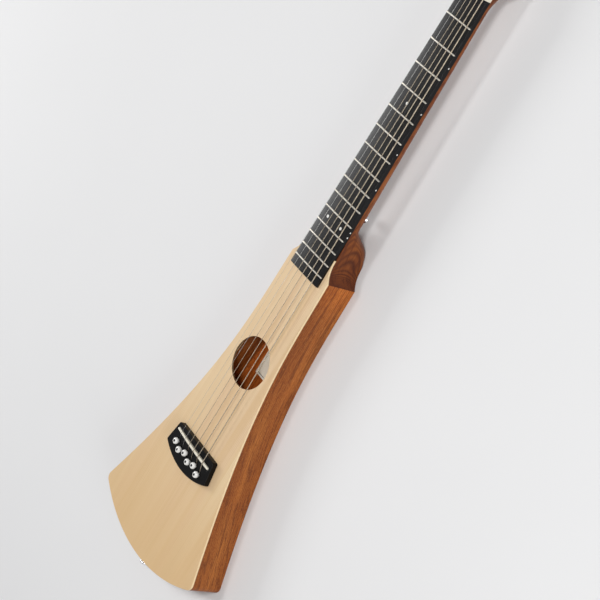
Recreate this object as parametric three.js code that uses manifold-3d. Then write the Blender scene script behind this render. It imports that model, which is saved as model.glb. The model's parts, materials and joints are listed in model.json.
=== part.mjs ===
// Travel guitar: a slim trumpet-shaped body carved from one block, a spruce soundboard, six steel
// strings over fifteen frets and six enclosed worm-geared tuners. It is strung for a left-handed player.
// Lengths are millimetres. +X is the bass side, +Y points to the head, +Z comes out of the soundboard.
// The origin lies on the plane of the back, in the middle of the guitar's length and width.
// Places along the strings are counted from the nut towards the tail and turned into Y by along().

import * as THREE from 'three';
import { mergeVertices } from 'three/addons/utils/BufferGeometryUtils.js';
import Module from 'manifold-3d';

const wasm = await Module();
wasm.setup();

// Clearances and overruns
const seam = 0.3;
const overrun = 2;

// Strings and frets
const scaleLength = 609.6;
const fretCount = 15;
const stringDiameters = [0.25, 0.36, 0.58, 0.76, 0.99, 1.19];
const nutSpread = 36;
const saddleSpread = 55;
const stringSeat = 0.1;
const stringAboveFrets = 2;
const ballRadius = 2;
const ballLength = 3;
const stringBend = 0.8;

// Fretboard
const boardNutWidth = 42.6;
const boardEndWidth = 56;
const boardEdge = 5.5;
const boardArchRadius = 406;
const boardPastLastFret = 12.2;

// Frets
const fretCrownWidth = 2;
const fretHeight = 0.9;
const fretTangWidth = 0.6;
const fretTangDepth = 1.6;
const fretSeat = 0.1;
const fretBevel = 0.6;

// Nut
const nutThickness = 5.5;
const nutAboveStrings = 0.5;
const nutBackDrop = 1.4;

// Body
const bodyDepth = 46;
const soundboardThickness = 2.6;
const jointPastLastFret = 1.6;
const bodyLength = 414.7;
const shoulderHalf = 37.4;
const tailHalf = 109.1;
const tailRadius = 225;
const tailCornerRadius = 8;
const sideStartSlope = 0.023;
const sideEndSlope = 0.351;
const sideStartShare = 0.2565;
const sideEndShare = 0.5485;
const backEdgeRadius = 1.5;
const wallThickness = 5;
const floorThickness = 3.5;
const headBlockPastBoard = 30;
const tailWallThickness = 14;
const holeFromJoint = 134.7;
const holeRadius = 31.1;

// Horns of the soundboard and the flare of the heel beside the fretboard
const hornLength = 26.3;
const hornLedge = 1;
const flareRadius = 36;

// Neck and heel
const neckDepthAtNut = 11.5;
const neckDepthAtHeel = 20;
const heelStartFromJoint = 67;
const heelEndFromJoint = 41;
const heelCornerStartFromJoint = 66.8;
const heelCornerEndFromJoint = 20.3;
const neckFlankShare = 0.1;
const volutePastNut = 7;
const voluteDepth = 7;
const voluteSpread = 10.5;
const voluteReach = 27;
const tenonLength = 26;
const tenonRootWidth = 16;
const tenonEndWidth = 21;
const tenonHeight = 31;

// Head
const headTilt = THREE.MathUtils.degToRad(9.5);
const headLength = 118;
const headThickness = 13.5;
const headWideHalf = 28;
const headTipHalf = 24;
const headFlareLength = 24;
const headCornerRadius = 6;
const firstTunerFromNut = 34;
const tunerPitch = 30;
const postFromHeadEdge = 8.5;

// Bridge, saddle, pins and bridge plate
const bridgeThickness = 7.5;
const bridgeFrontHalf = 40.4;
const bridgeBackHalf = 45.7;
const bridgeFrontFromSaddle = 8.7;
const bridgeSideLength = 28.5;
const bridgeBulge = 12;
const bridgeBevel = 1.4;
const saddleFromScale = 5.1;
const saddleSlope = 0.048;
const saddleLength = 76;
const saddleThickness = 3.2;
const saddleAboveSoundboard = 10.2;
const saddleSlotDepth = 5;
const saddleEndRadius = 1.6;
const saddleCrown = 1.4;
const rampShare = 0.8;
const pinPitch = 11.2;
const pinFromSaddle = 12.2;
const pinStagger = 3.95;
const pinShaftRadius = 2.6;
const pinTipRadius = 2.1;
const pinShaftLength = 22;
const pinHeadRadius = 4;
const pinHeadHeight = 5;
const pinNeckShare = 0.25;
const pinHeadShares = [[1, 0.4], [0.85, 0.78], [0.45, 0.96]];
const plateMargin = 6;
const plateThickness = 2.5;

// Braces and label
const legWidth = 5;
const legDepth = 12;
const barWidth = 6;
const barDepth = 9;
const legTailShare = 0.57;
const labelWidth = 52.6;
const labelLength = 47.2;
const labelThickness = 0.4;

// Strap buttons
const strapButtonHeight = 15;
const strapBaseRadius = 7;
const strapWaistRadius = 3.4;
const strapTopRadius = 5.4;
const strapRimHeight = 1.6;
const strapFlatShare = 0.7;
const strapWaistShares = [0.35, 0.65];
const strapScrewRadius = 1.8;
const strapScrewLength = 10;

// Tuners
const wheelTeeth = 14;
const wormPitch = 2.469;
const wormPitchRadius = 2.2;
const toothAddendum = 0.65;
const toothDedendum = 0.95;
const toothTipShare = 0.24;
const toothRootShare = 0.46;
const wheelThickness = 4;
const wormTurns = 2.5;
const gearClearance = 0.4;
const boxWall = 1.2;
const postRadius = 3;
const postWaistRadius = 2.7;
const postPivotRadius = 2;
const postChamferShare = 0.25;
const postAboveHead = 18;
const postWaistFrom = 5;
const postWaistTo = 15;
const stringHoleRadius = 0.9;
const stringHoleBelowTop = 5;
const sleeveRadius = 4.6;
const ringNutRadius = 6.4;
const ringNutThickness = 2;
const shaftRadius = 1.9;
const collarShare = 1.5;
const buttonFromBox = 4;
const buttonLength = 12.5;
const buttonHalfWidth = 8;
const buttonHalfThickness = 3.2;
const buttonShares = [[0.12, 0.6, 0.8], [0.4, 1, 1], [0.75, 0.92, 1], [0.94, 0.62, 0.8], [1, 0.4, 0.4]];
const windingTurns = 2;
const windingGap = 0.45;
const windingStart = 6.5;

// Numbers of flat faces
const sideSteps = 16;
const cornerSteps = 4;
const tailSteps = 8;
const archSteps = 4;
const holeSides = 36;
const tailSides = 96;
const roundSides = 12;
const postSides = 10;
const smallSides = 8;
const ringNutSides = 6;
const stringSides = 6;
const windingSteps = 12;

// Finishes
const finishes = {
  spruce: { color: 0xe3cba0, roughness: 0.5, metalness: 0 },
  mahogany: { color: 0x8a5432, roughness: 0.45, metalness: 0 },
  board: { color: 0x1c1b1c, roughness: 0.5, metalness: 0 },
  bone: { color: 0xefeadb, roughness: 0.35, metalness: 0 },
  maple: { color: 0xd8bd8c, roughness: 0.6, metalness: 0 },
  paper: { color: 0xeee6d0, roughness: 0.9, metalness: 0 },
  nickel: { color: 0xd6d2c6, roughness: 0.3, metalness: 1 },
  steel: { color: 0xcfcfd2, roughness: 0.3, metalness: 1 },
  bronze: { color: 0xc79a5a, roughness: 0.35, metalness: 1 },
  chrome: { color: 0xdddfe2, roughness: 0.12, metalness: 1 },
};

// Places worked out from the sizes above
const fretFromNut = (fret) => scaleLength * (1 - 2 ** (-fret / 12));
const joint = fretFromNut(fretCount) + jointPastLastFret;
const boardEnd = fretFromNut(fretCount) + boardPastLastFret;
const tailEnd = joint + bodyLength;
const holeCentre = joint + holeFromJoint;
const saddleCentre = scaleLength + saddleFromScale;
const headReach = nutThickness + headLength * Math.cos(headTilt);
const nutLine = (tailEnd + seam + strapButtonHeight - headReach) / 2;
const along = (fromNut) => nutLine - fromNut;
const rimLevel = bodyDepth - soundboardThickness;
const boardEdgeLevel = rimLevel + boardEdge;
const bridgeTop = bodyDepth + bridgeThickness;
const plateBottom = rimLevel - plateThickness;
const headMatrix = new THREE.Matrix4()
  .makeRotationX(-headTilt)
  .setPosition(0, along(-nutThickness), rimLevel);

const lerp = THREE.MathUtils.lerp;
const smooth = (value, from, to) => THREE.MathUtils.smoothstep(value, from, to);
const boardHalf = (fromNut) => lerp(boardNutWidth, boardEndWidth, fromNut / boardEnd) / 2;
const archLevel = (x) => Math.sqrt(boardArchRadius ** 2 - x ** 2) - boardArchRadius;
const arch = (x, half) => archLevel(x) - archLevel(half);
const saddleLine = (x) => saddleCentre + saddleSlope * x;

// Solids

// The signed volume of an indexed mesh, negative where its faces point inwards.
function signedVolume(positions, index) {
  const corner = (k) => new THREE.Vector3().fromArray(positions, 3 * index[k]);
  let total = 0;
  for (let k = 0; k < index.length; k += 3) {
    total += corner(k).dot(corner(k + 1).cross(corner(k + 2)));
  }
  return total;
}

// A solid for cutting and joining, from a closed geometry.
function solidOf(geometry) {
  const bare = geometry.clone();
  bare.deleteAttribute('normal');
  bare.deleteAttribute('uv');
  const merged = mergeVertices(bare);
  const positions = merged.attributes.position.array;
  const triangles = [];
  for (let k = 0; k < merged.index.count; k += 3) {
    const [a, b, c] = merged.index.array.slice(k, k + 3);
    if (a !== b && b !== c && c !== a) triangles.push(a, b, c);
  }
  if (signedVolume(positions, triangles) < 0) triangles.reverse();
  return new wasm.Manifold(
    new wasm.Mesh({ numProp: 3, vertProperties: positions, triVerts: new Uint32Array(triangles) }),
  );
}

function geometryOf(solid) {
  const mesh = solid.getMesh();
  const geometry = new THREE.BufferGeometry();
  geometry.setAttribute('position', new THREE.BufferAttribute(mesh.vertProperties, 3));
  geometry.setIndex(new THREE.BufferAttribute(mesh.triVerts, 1));
  geometry.computeVertexNormals();
  return geometry;
}

// The triangles that close a ring, wound the way its points go round.
function capOf(ring, first) {
  const normal = new THREE.Vector3();
  ring.forEach((point, k) => {
    normal.add(new THREE.Vector3().crossVectors(point, ring[(k + 1) % ring.length]));
  });
  const side = new THREE.Vector3().subVectors(ring[1], ring[0]).normalize();
  const across = new THREE.Vector3().crossVectors(normal.normalize(), side);
  const flat = ring.map((point) => new THREE.Vector2(point.dot(side), point.dot(across)));
  return THREE.ShapeUtils.triangulateShape(flat, []).map((face) => face.map((k) => k + first));
}

// A closed solid through rings that all hold the same number of points.
function loft(rings) {
  const count = rings[0].length;
  const last = (rings.length - 1) * count;
  const index = [];
  for (let a = 0; a < last; a += 1) {
    const b = (a + 1) % count === 0 ? a + 1 - count : a + 1;
    index.push(a, b, b + count, a, b + count, a + count);
  }
  capOf(rings[0], 0).forEach(([a, b, c]) => index.push(c, b, a));
  capOf(rings[rings.length - 1], last).forEach((face) => index.push(...face));
  const positions = rings.flat().flatMap((point) => point.toArray());
  const geometry = new THREE.BufferGeometry();
  geometry.setAttribute('position', new THREE.Float32BufferAttribute(positions, 3));
  geometry.setIndex(index);
  return solidOf(geometry);
}

// A flat outline raised from one level to another.
function slab(outline, low, high, holes = []) {
  const shape = new THREE.Shape(outline);
  shape.holes = holes.map((hole) => new THREE.Path(hole));
  const geometry = new THREE.ExtrudeGeometry(shape, { depth: high - low, bevelEnabled: false });
  return solidOf(geometry.translate(0, 0, low));
}

// A profile of [radius, height] pairs turned about the Z axis.
function turned(profile, sides = roundSides) {
  const points = profile.map(([radius, height]) => new THREE.Vector2(radius, height));
  return solidOf(new THREE.LatheGeometry(points, sides).rotateX(Math.PI / 2));
}

function rod(radius, low, high, sides = roundSides) {
  return turned([[0, low], [radius, low], [radius, high], [0, high]], sides);
}

function block(width, length, low, high) {
  return solidOf(new THREE.BoxGeometry(width, length, high - low).translate(0, 0, (low + high) / 2));
}

// A straight bar between two points, with so much of it below and above the line between them.
function bar(from, to, width, below, above) {
  const forward = new THREE.Vector3().subVectors(to, from);
  const length = forward.length();
  forward.normalize();
  const side = new THREE.Vector3(forward.y, -forward.x, 0).normalize();
  const up = new THREE.Vector3().crossVectors(side, forward);
  const middle = new THREE.Vector3().addVectors(from, to).divideScalar(2);
  const matrix = new THREE.Matrix4().makeBasis(side, forward, up).setPosition(middle);
  return block(width, length, -below, above).transform(matrix.elements);
}

const circle = (radius, sides, x = 0, y = 0) => Array.from({ length: sides }, (_, k) => {
  const angle = (2 * Math.PI * k) / sides;
  return new THREE.Vector2(x + radius * Math.cos(angle), y + radius * Math.sin(angle));
});

const moved = (solid, x, y, z) => solid.translate([x, y, z]);
const rotated = (solid, axis, angle) => {
  const matrix = new THREE.Matrix4().makeRotationAxis(axis, angle);
  return solid.transform(matrix.elements);
};
const alongX = (solid) => rotated(solid, new THREE.Vector3(0, 1, 0), Math.PI / 2);
const alongY = (solid) => rotated(solid, new THREE.Vector3(1, 0, 0), -Math.PI / 2);
const inHead = (solid) => solid.transform(headMatrix.elements);

// A tube's route that is sampled at its own points, so that corners and straight runs stay exact.
class Route extends THREE.Curve {
  constructor(points) {
    super();
    this.points = points;
  }

  getPointAt(share) {
    return this.points[Math.round(share * (this.points.length - 1))].clone();
  }

  getTangentAt(share) {
    const here = Math.round(share * (this.points.length - 1));
    const tangent = new THREE.Vector3();
    [here, here + 1].forEach((end) => {
      if (end > 0 && end < this.points.length) {
        tangent.add(new THREE.Vector3().subVectors(this.points[end], this.points[end - 1]).normalize());
      }
    });
    return tangent.normalize();
  }
}

function tube(points, radius, sides) {
  const section = new THREE.Shape(circle(radius, sides));
  const extrudePath = new Route(points);
  return solidOf(new THREE.ExtrudeGeometry(section, { steps: points.length - 1, extrudePath }));
}

const guitar = new THREE.Group();

function add(name, solid, finish) {
  const mesh = new THREE.Mesh(geometryOf(solid), new THREE.MeshStandardMaterial(finishes[finish]));
  mesh.name = name;
  guitar.add(mesh);
}

// Outline of the body

// Half the width of the neck's top and of the soundboard's horns: the fretboard's own half width,
// a narrow ledge that opens beside the heel, and a round flare out to the shoulder.
const flareRise = shoulderHalf - boardHalf(joint) - hornLedge;
const flareLength = Math.sqrt(flareRadius ** 2 - (flareRadius - flareRise) ** 2);
const flareStart = joint - flareLength;
const hornStart = joint - hornLength;
const heelStart = joint - heelStartFromJoint;

function neckHalf(fromNut) {
  const ledge = hornLedge * smooth(fromNut, heelStart, hornStart);
  const run = Math.max(0, fromNut - flareStart);
  return boardHalf(fromNut) + ledge + flareRadius - Math.sqrt(flareRadius ** 2 - run ** 2);
}

// One side of the body from the joint to the middle of the tail, as (from nut, half width) points:
// a long flaring curve, a round corner and half of the tail's arc.
function sidePoints() {
  const tailCentre = new THREE.Vector2(tailEnd - tailRadius, 0);
  const corner = new THREE.Vector2(tailCentre.x + Math.sqrt(tailRadius ** 2 - tailHalf ** 2), tailHalf);
  const start = new THREE.Vector2(joint, shoulderHalf);
  const length = corner.x - start.x;
  const startHandle = new THREE.Vector2(length, length * sideStartSlope).multiplyScalar(sideStartShare);
  const endHandle = new THREE.Vector2(length, length * sideEndSlope).multiplyScalar(-sideEndShare);
  const side = new THREE.CubicBezierCurve(
    start,
    startHandle.add(start),
    endHandle.clone().add(corner),
    corner,
  );
  const forward = endHandle.clone().normalize().negate();
  const inward = new THREE.Vector2(forward.y, -forward.x);
  const offset = new THREE.Vector2().copy(corner).addScaledVector(inward, tailCornerRadius).sub(tailCentre);
  const back = offset.dot(forward);
  const spare = offset.lengthSq() - (tailRadius - tailCornerRadius) ** 2;
  const run = back - Math.sqrt(back ** 2 - spare);
  const centre = offset.addScaledVector(forward, -run).add(tailCentre);
  const sideAngle = Math.atan2(-inward.y, -inward.x);
  const tailAngle = Math.atan2(centre.y - tailCentre.y, centre.x - tailCentre.x);
  const cornerStart = centre.x + tailCornerRadius * Math.cos(sideAngle);
  const points = side.getPoints(sideSteps).filter((point) => point.x < cornerStart - tailCornerRadius / 2);
  for (let k = 0; k <= cornerSteps; k += 1) {
    const angle = lerp(sideAngle, tailAngle, k / cornerSteps);
    const spoke = new THREE.Vector2(Math.cos(angle), Math.sin(angle));
    points.push(spoke.multiplyScalar(tailCornerRadius).add(centre));
  }
  for (let k = 1; k <= tailSteps; k += 1) {
    const angle = lerp(tailAngle, 0, k / tailSteps);
    const spoke = new THREE.Vector2(Math.cos(angle), Math.sin(angle));
    points.push(spoke.multiplyScalar(tailRadius).add(tailCentre));
  }
  return points;
}

// The (from nut, half width) points of one side, closed by their mirror image into an outline in X and Y.
function bothSides(points) {
  const right = points.map((point) => new THREE.Vector2(point.y, along(point.x)));
  const left = right.filter((point) => point.x > 0).map((point) => new THREE.Vector2(-point.x, point.y));
  return [...right, ...left.reverse()];
}

// An outline drawn in by one distance all round.
function inset(outline, distance) {
  const area = Math.sign(THREE.ShapeUtils.area(outline));
  return outline.map((point, k) => {
    const before = outline[(k + outline.length - 1) % outline.length];
    const after = outline[(k + 1) % outline.length];
    const inBefore = new THREE.Vector2(before.y - point.y, point.x - before.x).normalize();
    const inAfter = new THREE.Vector2(point.y - after.y, after.x - point.x).normalize();
    const inward = inBefore.add(inAfter).multiplyScalar(area);
    return inward.multiplyScalar((2 * distance) / inward.lengthSq()).add(point);
  });
}

const bodySide = sidePoints();

// Half the body's width at one place along it.
function bodyHalf(fromNut) {
  const next = bodySide.findIndex((point) => point.x > fromNut);
  const [before, after] = bodySide.slice(next - 1, next + 1);
  return THREE.MathUtils.mapLinear(fromNut, before.x, after.x, before.y, after.y);
}

const atLevel = (outline, level) => outline.map((point) => new THREE.Vector3(point.x, point.y, level));

// Pins, strings and their places
const stringXAtNut = (k) => lerp(-nutSpread, nutSpread, k / (stringDiameters.length - 1)) / 2;
const stringXAtSaddle = (k) => lerp(-saddleSpread, saddleSpread, k / (stringDiameters.length - 1)) / 2;
const pinX = (k) => pinPitch * (k - (stringDiameters.length - 1) / 2);
const pinFromNut = (k) => saddleLine(pinX(k)) + pinFromSaddle + (k % 2) * pinStagger;
const pinHoles = stringDiameters.map((_, k) => (
  circle(pinShaftRadius + seam, smallSides, pinX(k), along(pinFromNut(k)))
));

// Soundboard
function soundboard() {
  const horn = [new THREE.Vector2(hornStart, neckHalf(hornStart))];
  for (let k = 0; k < cornerSteps; k += 1) {
    const fromNut = lerp(flareStart, joint, k / cornerSteps);
    horn.push(new THREE.Vector2(fromNut, neckHalf(fromNut)));
  }
  const notch = [
    new THREE.Vector2(-boardHalf(hornStart) - seam / 2, along(hornStart)),
    new THREE.Vector2(-boardHalf(boardEnd) - seam / 2, along(boardEnd + seam / 2)),
    new THREE.Vector2(boardHalf(boardEnd) + seam / 2, along(boardEnd + seam / 2)),
    new THREE.Vector2(boardHalf(hornStart) + seam / 2, along(hornStart)),
  ];
  const outline = [...bothSides([...horn, ...bodySide]), ...notch];
  const soundhole = circle(holeRadius, holeSides, 0, along(holeCentre));
  add('soundboard', slab(outline, rimLevel, bodyDepth, [soundhole, ...pinHoles]), 'spruce');
}

// Body shell, carved from one block: its floor is the guitar's back
const blockEnd = boardEnd + headBlockPastBoard;
const shellOutline = bothSides(bodySide);

function cavity(distance, low, high) {
  const room = slab(inset(shellOutline, distance), low, high);
  const reach = 2 * tailHalf;
  const front = moved(
    block(reach, reach, low - overrun, high + overrun),
    0,
    along(blockEnd + distance - wallThickness) + reach / 2,
    0,
  );
  const backRadius = tailRadius - tailWallThickness - distance + wallThickness;
  const back = moved(rod(backRadius, low, high, tailSides), 0, along(tailEnd - tailRadius), 0);
  return room.subtract(front).intersect(back);
}

function tenon(clearance, low, high) {
  const root = tenonRootWidth / 2 + clearance;
  const end = tenonEndWidth / 2 + clearance;
  const tip = joint + tenonLength + clearance;
  return slab([
    new THREE.Vector2(-root, along(joint - overrun)),
    new THREE.Vector2(root, along(joint - overrun)),
    new THREE.Vector2(root, along(joint)),
    new THREE.Vector2(end, along(tip)),
    new THREE.Vector2(-end, along(tip)),
    new THREE.Vector2(-root, along(joint)),
  ], low, high);
}

function bodyShell() {
  const front = new THREE.Vector2(joint - 2 * backEdgeRadius, shoulderHalf);
  const outline = bothSides([front, ...bodySide]);
  const rings = [atLevel(outline, rimLevel)];
  for (let k = 0; k <= cornerSteps; k += 1) {
    const angle = (Math.PI / 2) * (k / cornerSteps);
    const drawnIn = backEdgeRadius * (1 - Math.cos(angle));
    rings.push(atLevel(inset(outline, drawnIn), backEdgeRadius * (1 - Math.sin(angle))));
  }
  const ahead = moved(
    block(2 * tailHalf, 2 * tailHalf, -overrun, bodyDepth),
    0,
    along(joint) + tailHalf,
    0,
  );
  const screwHole = alongY(rod(strapScrewRadius + seam, -overrun, strapScrewLength + seam, smallSides));
  const shell = loft(rings)
    .subtract(ahead)
    .subtract(cavity(wallThickness, floorThickness, rimLevel + overrun))
    .subtract(tenon(seam, rimLevel - tenonHeight - seam, rimLevel + overrun))
    .subtract(moved(screwHole, 0, along(tailEnd), bodyDepth / 2));
  add('body_shell', shell, 'mahogany');
}

// Neck with its heel and head

function neckDepth(fromNut) {
  const plain = lerp(neckDepthAtNut, neckDepthAtHeel, Math.max(0, fromNut / heelStart));
  const volute = voluteDepth * Math.exp(-(((fromNut + volutePastNut) / voluteSpread) ** 2));
  const heel = smooth(fromNut, heelStart, joint - heelEndFromJoint);
  return lerp(plain + volute, rimLevel, heel);
}

// One cross-section of the neck: flat on top, with flanks and round lower corners, which run
// together into a half oval along the neck and open out into the square body at the heel.
function neckRing(fromNut) {
  const past = Math.max(0, -fromNut - nutThickness);
  const narrowing = 1 - past / (voluteReach + seam);
  const top = rimLevel - Math.min(past, headThickness / 2);
  const half = neckHalf(Math.max(0, fromNut)) * narrowing;
  const square = smooth(fromNut, joint - heelCornerStartFromJoint, joint - heelCornerEndFromJoint);
  const depth = neckDepth(fromNut);
  const cornerWidth = lerp(half * (1 - neckFlankShare / 2), backEdgeRadius, square);
  const cornerDepth = lerp((depth - rimLevel + top) * (1 - neckFlankShare), backEdgeRadius, square);
  const steps = smallSides;
  const ring = [new THREE.Vector3(half, along(fromNut), top)];
  for (let k = 0; k <= steps; k += 1) {
    const angle = (Math.PI / 2) * (k / steps);
    const x = half - cornerWidth * (1 - Math.cos(angle));
    const z = rimLevel - depth + cornerDepth * (1 - Math.sin(angle));
    ring.push(new THREE.Vector3(x, along(fromNut), z));
  }
  const mirrored = ring.map((point) => new THREE.Vector3(-point.x, point.y, point.z));
  return [...ring, ...mirrored.reverse()];
}

const headHalf = (fromNut) => lerp(
  headWideHalf,
  headTipHalf,
  (fromNut - headFlareLength) / (headLength - headFlareLength),
);

function headOutline() {
  const outline = new THREE.Shape();
  const start = boardHalf(0);
  const middle = headFlareLength / 2;
  outline.moveTo(start, 0);
  outline.bezierCurveTo(start, middle, headWideHalf, middle, headWideHalf, headFlareLength);
  outline.lineTo(headTipHalf, headLength - headCornerRadius);
  outline.quadraticCurveTo(headTipHalf, headLength, headTipHalf - headCornerRadius, headLength);
  const right = outline.getPoints(cornerSteps);
  const left = right.map((point) => new THREE.Vector2(-point.x, point.y));
  return [...right, ...left.reverse()];
}

// Places of the posts on the head: strings count from treble to bass, and the outer two
// strings go to the posts next to the nut.
const perSide = stringDiameters.length / 2;
const postPlaces = stringDiameters.map((_, k) => {
  const side = k < perSide ? -1 : 1;
  const rank = k < perSide ? k : stringDiameters.length - 1 - k;
  const fromNut = firstTunerFromNut + tunerPitch * rank;
  return { side, x: side * (headHalf(fromNut) - postFromHeadEdge), y: fromNut };
});

const neckStrap = heelStart - strapBaseRadius - seam;

function neck() {
  const places = [];
  const voluteStart = -nutThickness - voluteReach;
  for (let k = 0; k < roundSides; k += 1) {
    places.push(lerp(voluteStart, voluteReach / 2, k / roundSides));
  }
  for (let k = 0; k < cornerSteps; k += 1) {
    places.push(lerp(voluteReach / 2, heelStart, k / cornerSteps));
  }
  for (let k = 0; k <= sideSteps; k += 1) {
    places.push(lerp(heelStart, joint, k / sideSteps));
  }
  const head = inHead(slab(headOutline(), -headThickness, 0));
  const screwHole = rod(strapScrewRadius + seam, -overrun, strapScrewLength + seam, smallSides);
  const blank = loft(places.map(neckRing))
    .add(head)
    .add(tenon(0, rimLevel - tenonHeight, rimLevel))
    .subtract(moved(screwHole, 0, along(neckStrap), rimLevel - neckDepth(neckStrap)));
  const bored = postPlaces.reduce((solid, { x, y }) => {
    const bore = rod(sleeveRadius + seam, -headThickness - overrun, overrun);
    return solid.subtract(inHead(moved(bore, x, y, 0)));
  }, blank);
  add('neck', bored, 'mahogany');
}

// Fretboard

function boardRing(fromNut) {
  const half = boardHalf(fromNut);
  const ring = [
    new THREE.Vector3(-half, along(fromNut), rimLevel),
    new THREE.Vector3(half, along(fromNut), rimLevel),
  ];
  for (let k = 0; k <= archSteps; k += 1) {
    const x = lerp(half, -half, k / archSteps);
    ring.push(new THREE.Vector3(x, along(fromNut), boardEdgeLevel + arch(x, half)));
  }
  return ring;
}

const fretNumbers = Array.from({ length: fretCount }, (_, k) => k + 1);

function fretboard() {
  const slotWidth = fretTangWidth + seam;
  const slotBottom = boardEdgeLevel - fretTangDepth - seam;
  const board = fretNumbers.reduce((solid, fret) => {
    const slot = block(boardEndWidth + overrun, slotWidth, slotBottom, boardEdgeLevel + overrun);
    return solid.subtract(moved(slot, 0, along(fretFromNut(fret)), 0));
  }, loft([boardRing(0), boardRing(boardEnd)]));
  add('fretboard', board, 'board');
}

// Frets: a round crown on a tang, following the board's arch, with bevelled ends
function fretRing(fromNut, share) {
  const half = boardHalf(fromNut);
  const x = lerp(-half, half, share);
  const base = boardEdgeLevel + arch(x, half) + fretSeat;
  const end = share === 0 || share === 1 ? Math.sign(x) : 0;
  const ring = [];
  for (let k = 0; k <= cornerSteps; k += 1) {
    const angle = Math.PI * (k / cornerSteps);
    const height = fretHeight * Math.sin(angle);
    const y = along(fromNut) + (fretCrownWidth / 2) * Math.cos(angle);
    ring.push(new THREE.Vector3(x - end * fretBevel * height, y, base + height));
  }
  [[-1, 0], [-1, -1], [1, -1], [1, 0]].forEach(([side, down]) => {
    const y = along(fromNut) + (side * fretTangWidth) / 2;
    ring.push(new THREE.Vector3(x, y, base + down * fretTangDepth));
  });
  return ring;
}

function fret(number) {
  const shares = Array.from({ length: archSteps + 1 }, (_, k) => k / archSteps);
  const rings = shares.map((share) => fretRing(fretFromNut(number), share));
  add(`fret_${String(number).padStart(2, '0')}`, loft(rings), 'nickel');
}

// Places that each string passes: the nut's front edge, the saddle's crown, its pin and its post
const stringLevelAtNut = boardEdgeLevel + fretHeight + fretSeat + stringAboveFrets;
const saddleLevel = (x) => bodyDepth + saddleAboveSoundboard + archLevel(x);

function windingPoints(k) {
  const { side, x, y } = postPlaces[k];
  const diameter = stringDiameters[k];
  const radius = postWaistRadius + seam + diameter / 2;
  const points = [];
  for (let step = 0; step <= windingTurns * windingSteps; step += 1) {
    const turn = step / windingSteps;
    const angle = 2 * Math.PI * turn;
    points.push(new THREE.Vector3(
      x - side * radius * Math.cos(angle),
      y + radius * Math.sin(angle),
      windingStart + turn * (diameter + windingGap),
    ));
  }
  return points;
}

function stringPlaces(k) {
  const radius = stringDiameters[k] / 2;
  const nutPoint = new THREE.Vector3(stringXAtNut(k), along(0), stringLevelAtNut);
  const saddleX = stringXAtSaddle(k);
  const saddlePoint = new THREE.Vector3(
    saddleX,
    along(saddleLine(saddleX)),
    saddleLevel(saddleX) + radius + stringSeat,
  );
  const winding = windingPoints(k).map((point) => point.applyMatrix4(headMatrix));
  const grooveY = along(pinFromNut(k)) + pinShaftRadius - radius;
  const exit = new THREE.Vector3(pinX(k), grooveY, bridgeTop - radius - 2 * stringBend);
  return { radius, nutPoint, saddlePoint, winding, exit };
}

// Nut, with a slot for each string that falls away towards the head
function nut() {
  const top = stringLevelAtNut + nutAboveStrings;
  const profile = [
    new THREE.Vector2(0, rimLevel),
    new THREE.Vector2(0, top - nutAboveStrings),
    new THREE.Vector2(-nutAboveStrings, top),
    new THREE.Vector2(-nutThickness / 2, top),
    new THREE.Vector2(-nutThickness, top - nutBackDrop),
    new THREE.Vector2(-nutThickness, rimLevel),
  ];
  const rings = [-1, 1].map((side) => profile.map((point) => (
    new THREE.Vector3(side * boardHalf(0), along(point.x), point.y)
  )));
  const slotted = stringDiameters.reduce((solid, diameter, k) => {
    const { radius, nutPoint, winding } = stringPlaces(k);
    const room = radius + stringSeat;
    const back = new THREE.Vector3().subVectors(winding[0], nutPoint).setLength(nutThickness + overrun);
    const ahead = nutPoint.clone().addScaledVector(back.clone().normalize(), -overrun);
    return solid.subtract(bar(ahead, back.add(nutPoint), 2 * room + diameter / 2, room, overrun));
  }, loft(rings));
  add('nut', slotted, 'bone');
}

// Bridge, with the saddle's slot, six pin holes and a ramp for each string
const bridgeFront = saddleCentre - bridgeFrontFromSaddle;

function bridgeOutline() {
  const sideEnd = bridgeFront + bridgeSideLength;
  const radius = (bridgeBackHalf ** 2 + bridgeBulge ** 2) / (2 * bridgeBulge);
  const reach = Math.asin(bridgeBackHalf / radius);
  const centre = sideEnd + bridgeBulge - radius;
  const half = [new THREE.Vector2(bridgeFront, bridgeFrontHalf)];
  for (let k = 0; k <= tailSteps; k += 1) {
    const angle = lerp(reach, 0, k / tailSteps);
    half.push(new THREE.Vector2(centre + radius * Math.cos(angle), radius * Math.sin(angle)));
  }
  return bothSides(half);
}

const saddleTurn = Math.atan(-saddleSlope);
const saddleFloor = bridgeTop - saddleSlotDepth;

function bridge() {
  const outline = bridgeOutline();
  const body = loft([
    atLevel(outline, bodyDepth),
    atLevel(outline, bridgeTop - bridgeBevel),
    atLevel(inset(outline, bridgeBevel), bridgeTop),
  ]);
  const slot = block(
    saddleLength + 2 * seam,
    saddleThickness + 2 * seam,
    saddleFloor - seam,
    bridgeTop + overrun,
  );
  const turnedSlot = moved(
    rotated(slot, new THREE.Vector3(0, 0, 1), saddleTurn),
    0,
    along(saddleCentre),
    0,
  );
  const cut = stringDiameters.reduce((solid, _, k) => {
    const { radius, saddlePoint, exit } = stringPlaces(k);
    const hole = slab(pinHoles[k], bodyDepth - overrun, bridgeTop + overrun);
    const rampEnd = exit.clone().lerp(saddlePoint, rampShare);
    const room = radius + seam;
    const ramp = bar(exit, rampEnd, 2 * room, room + stringBend / 2, bridgeThickness);
    return solid.subtract(hole).subtract(ramp);
  }, body.subtract(turnedSlot));
  add('bridge', cut, 'board');
}

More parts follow.
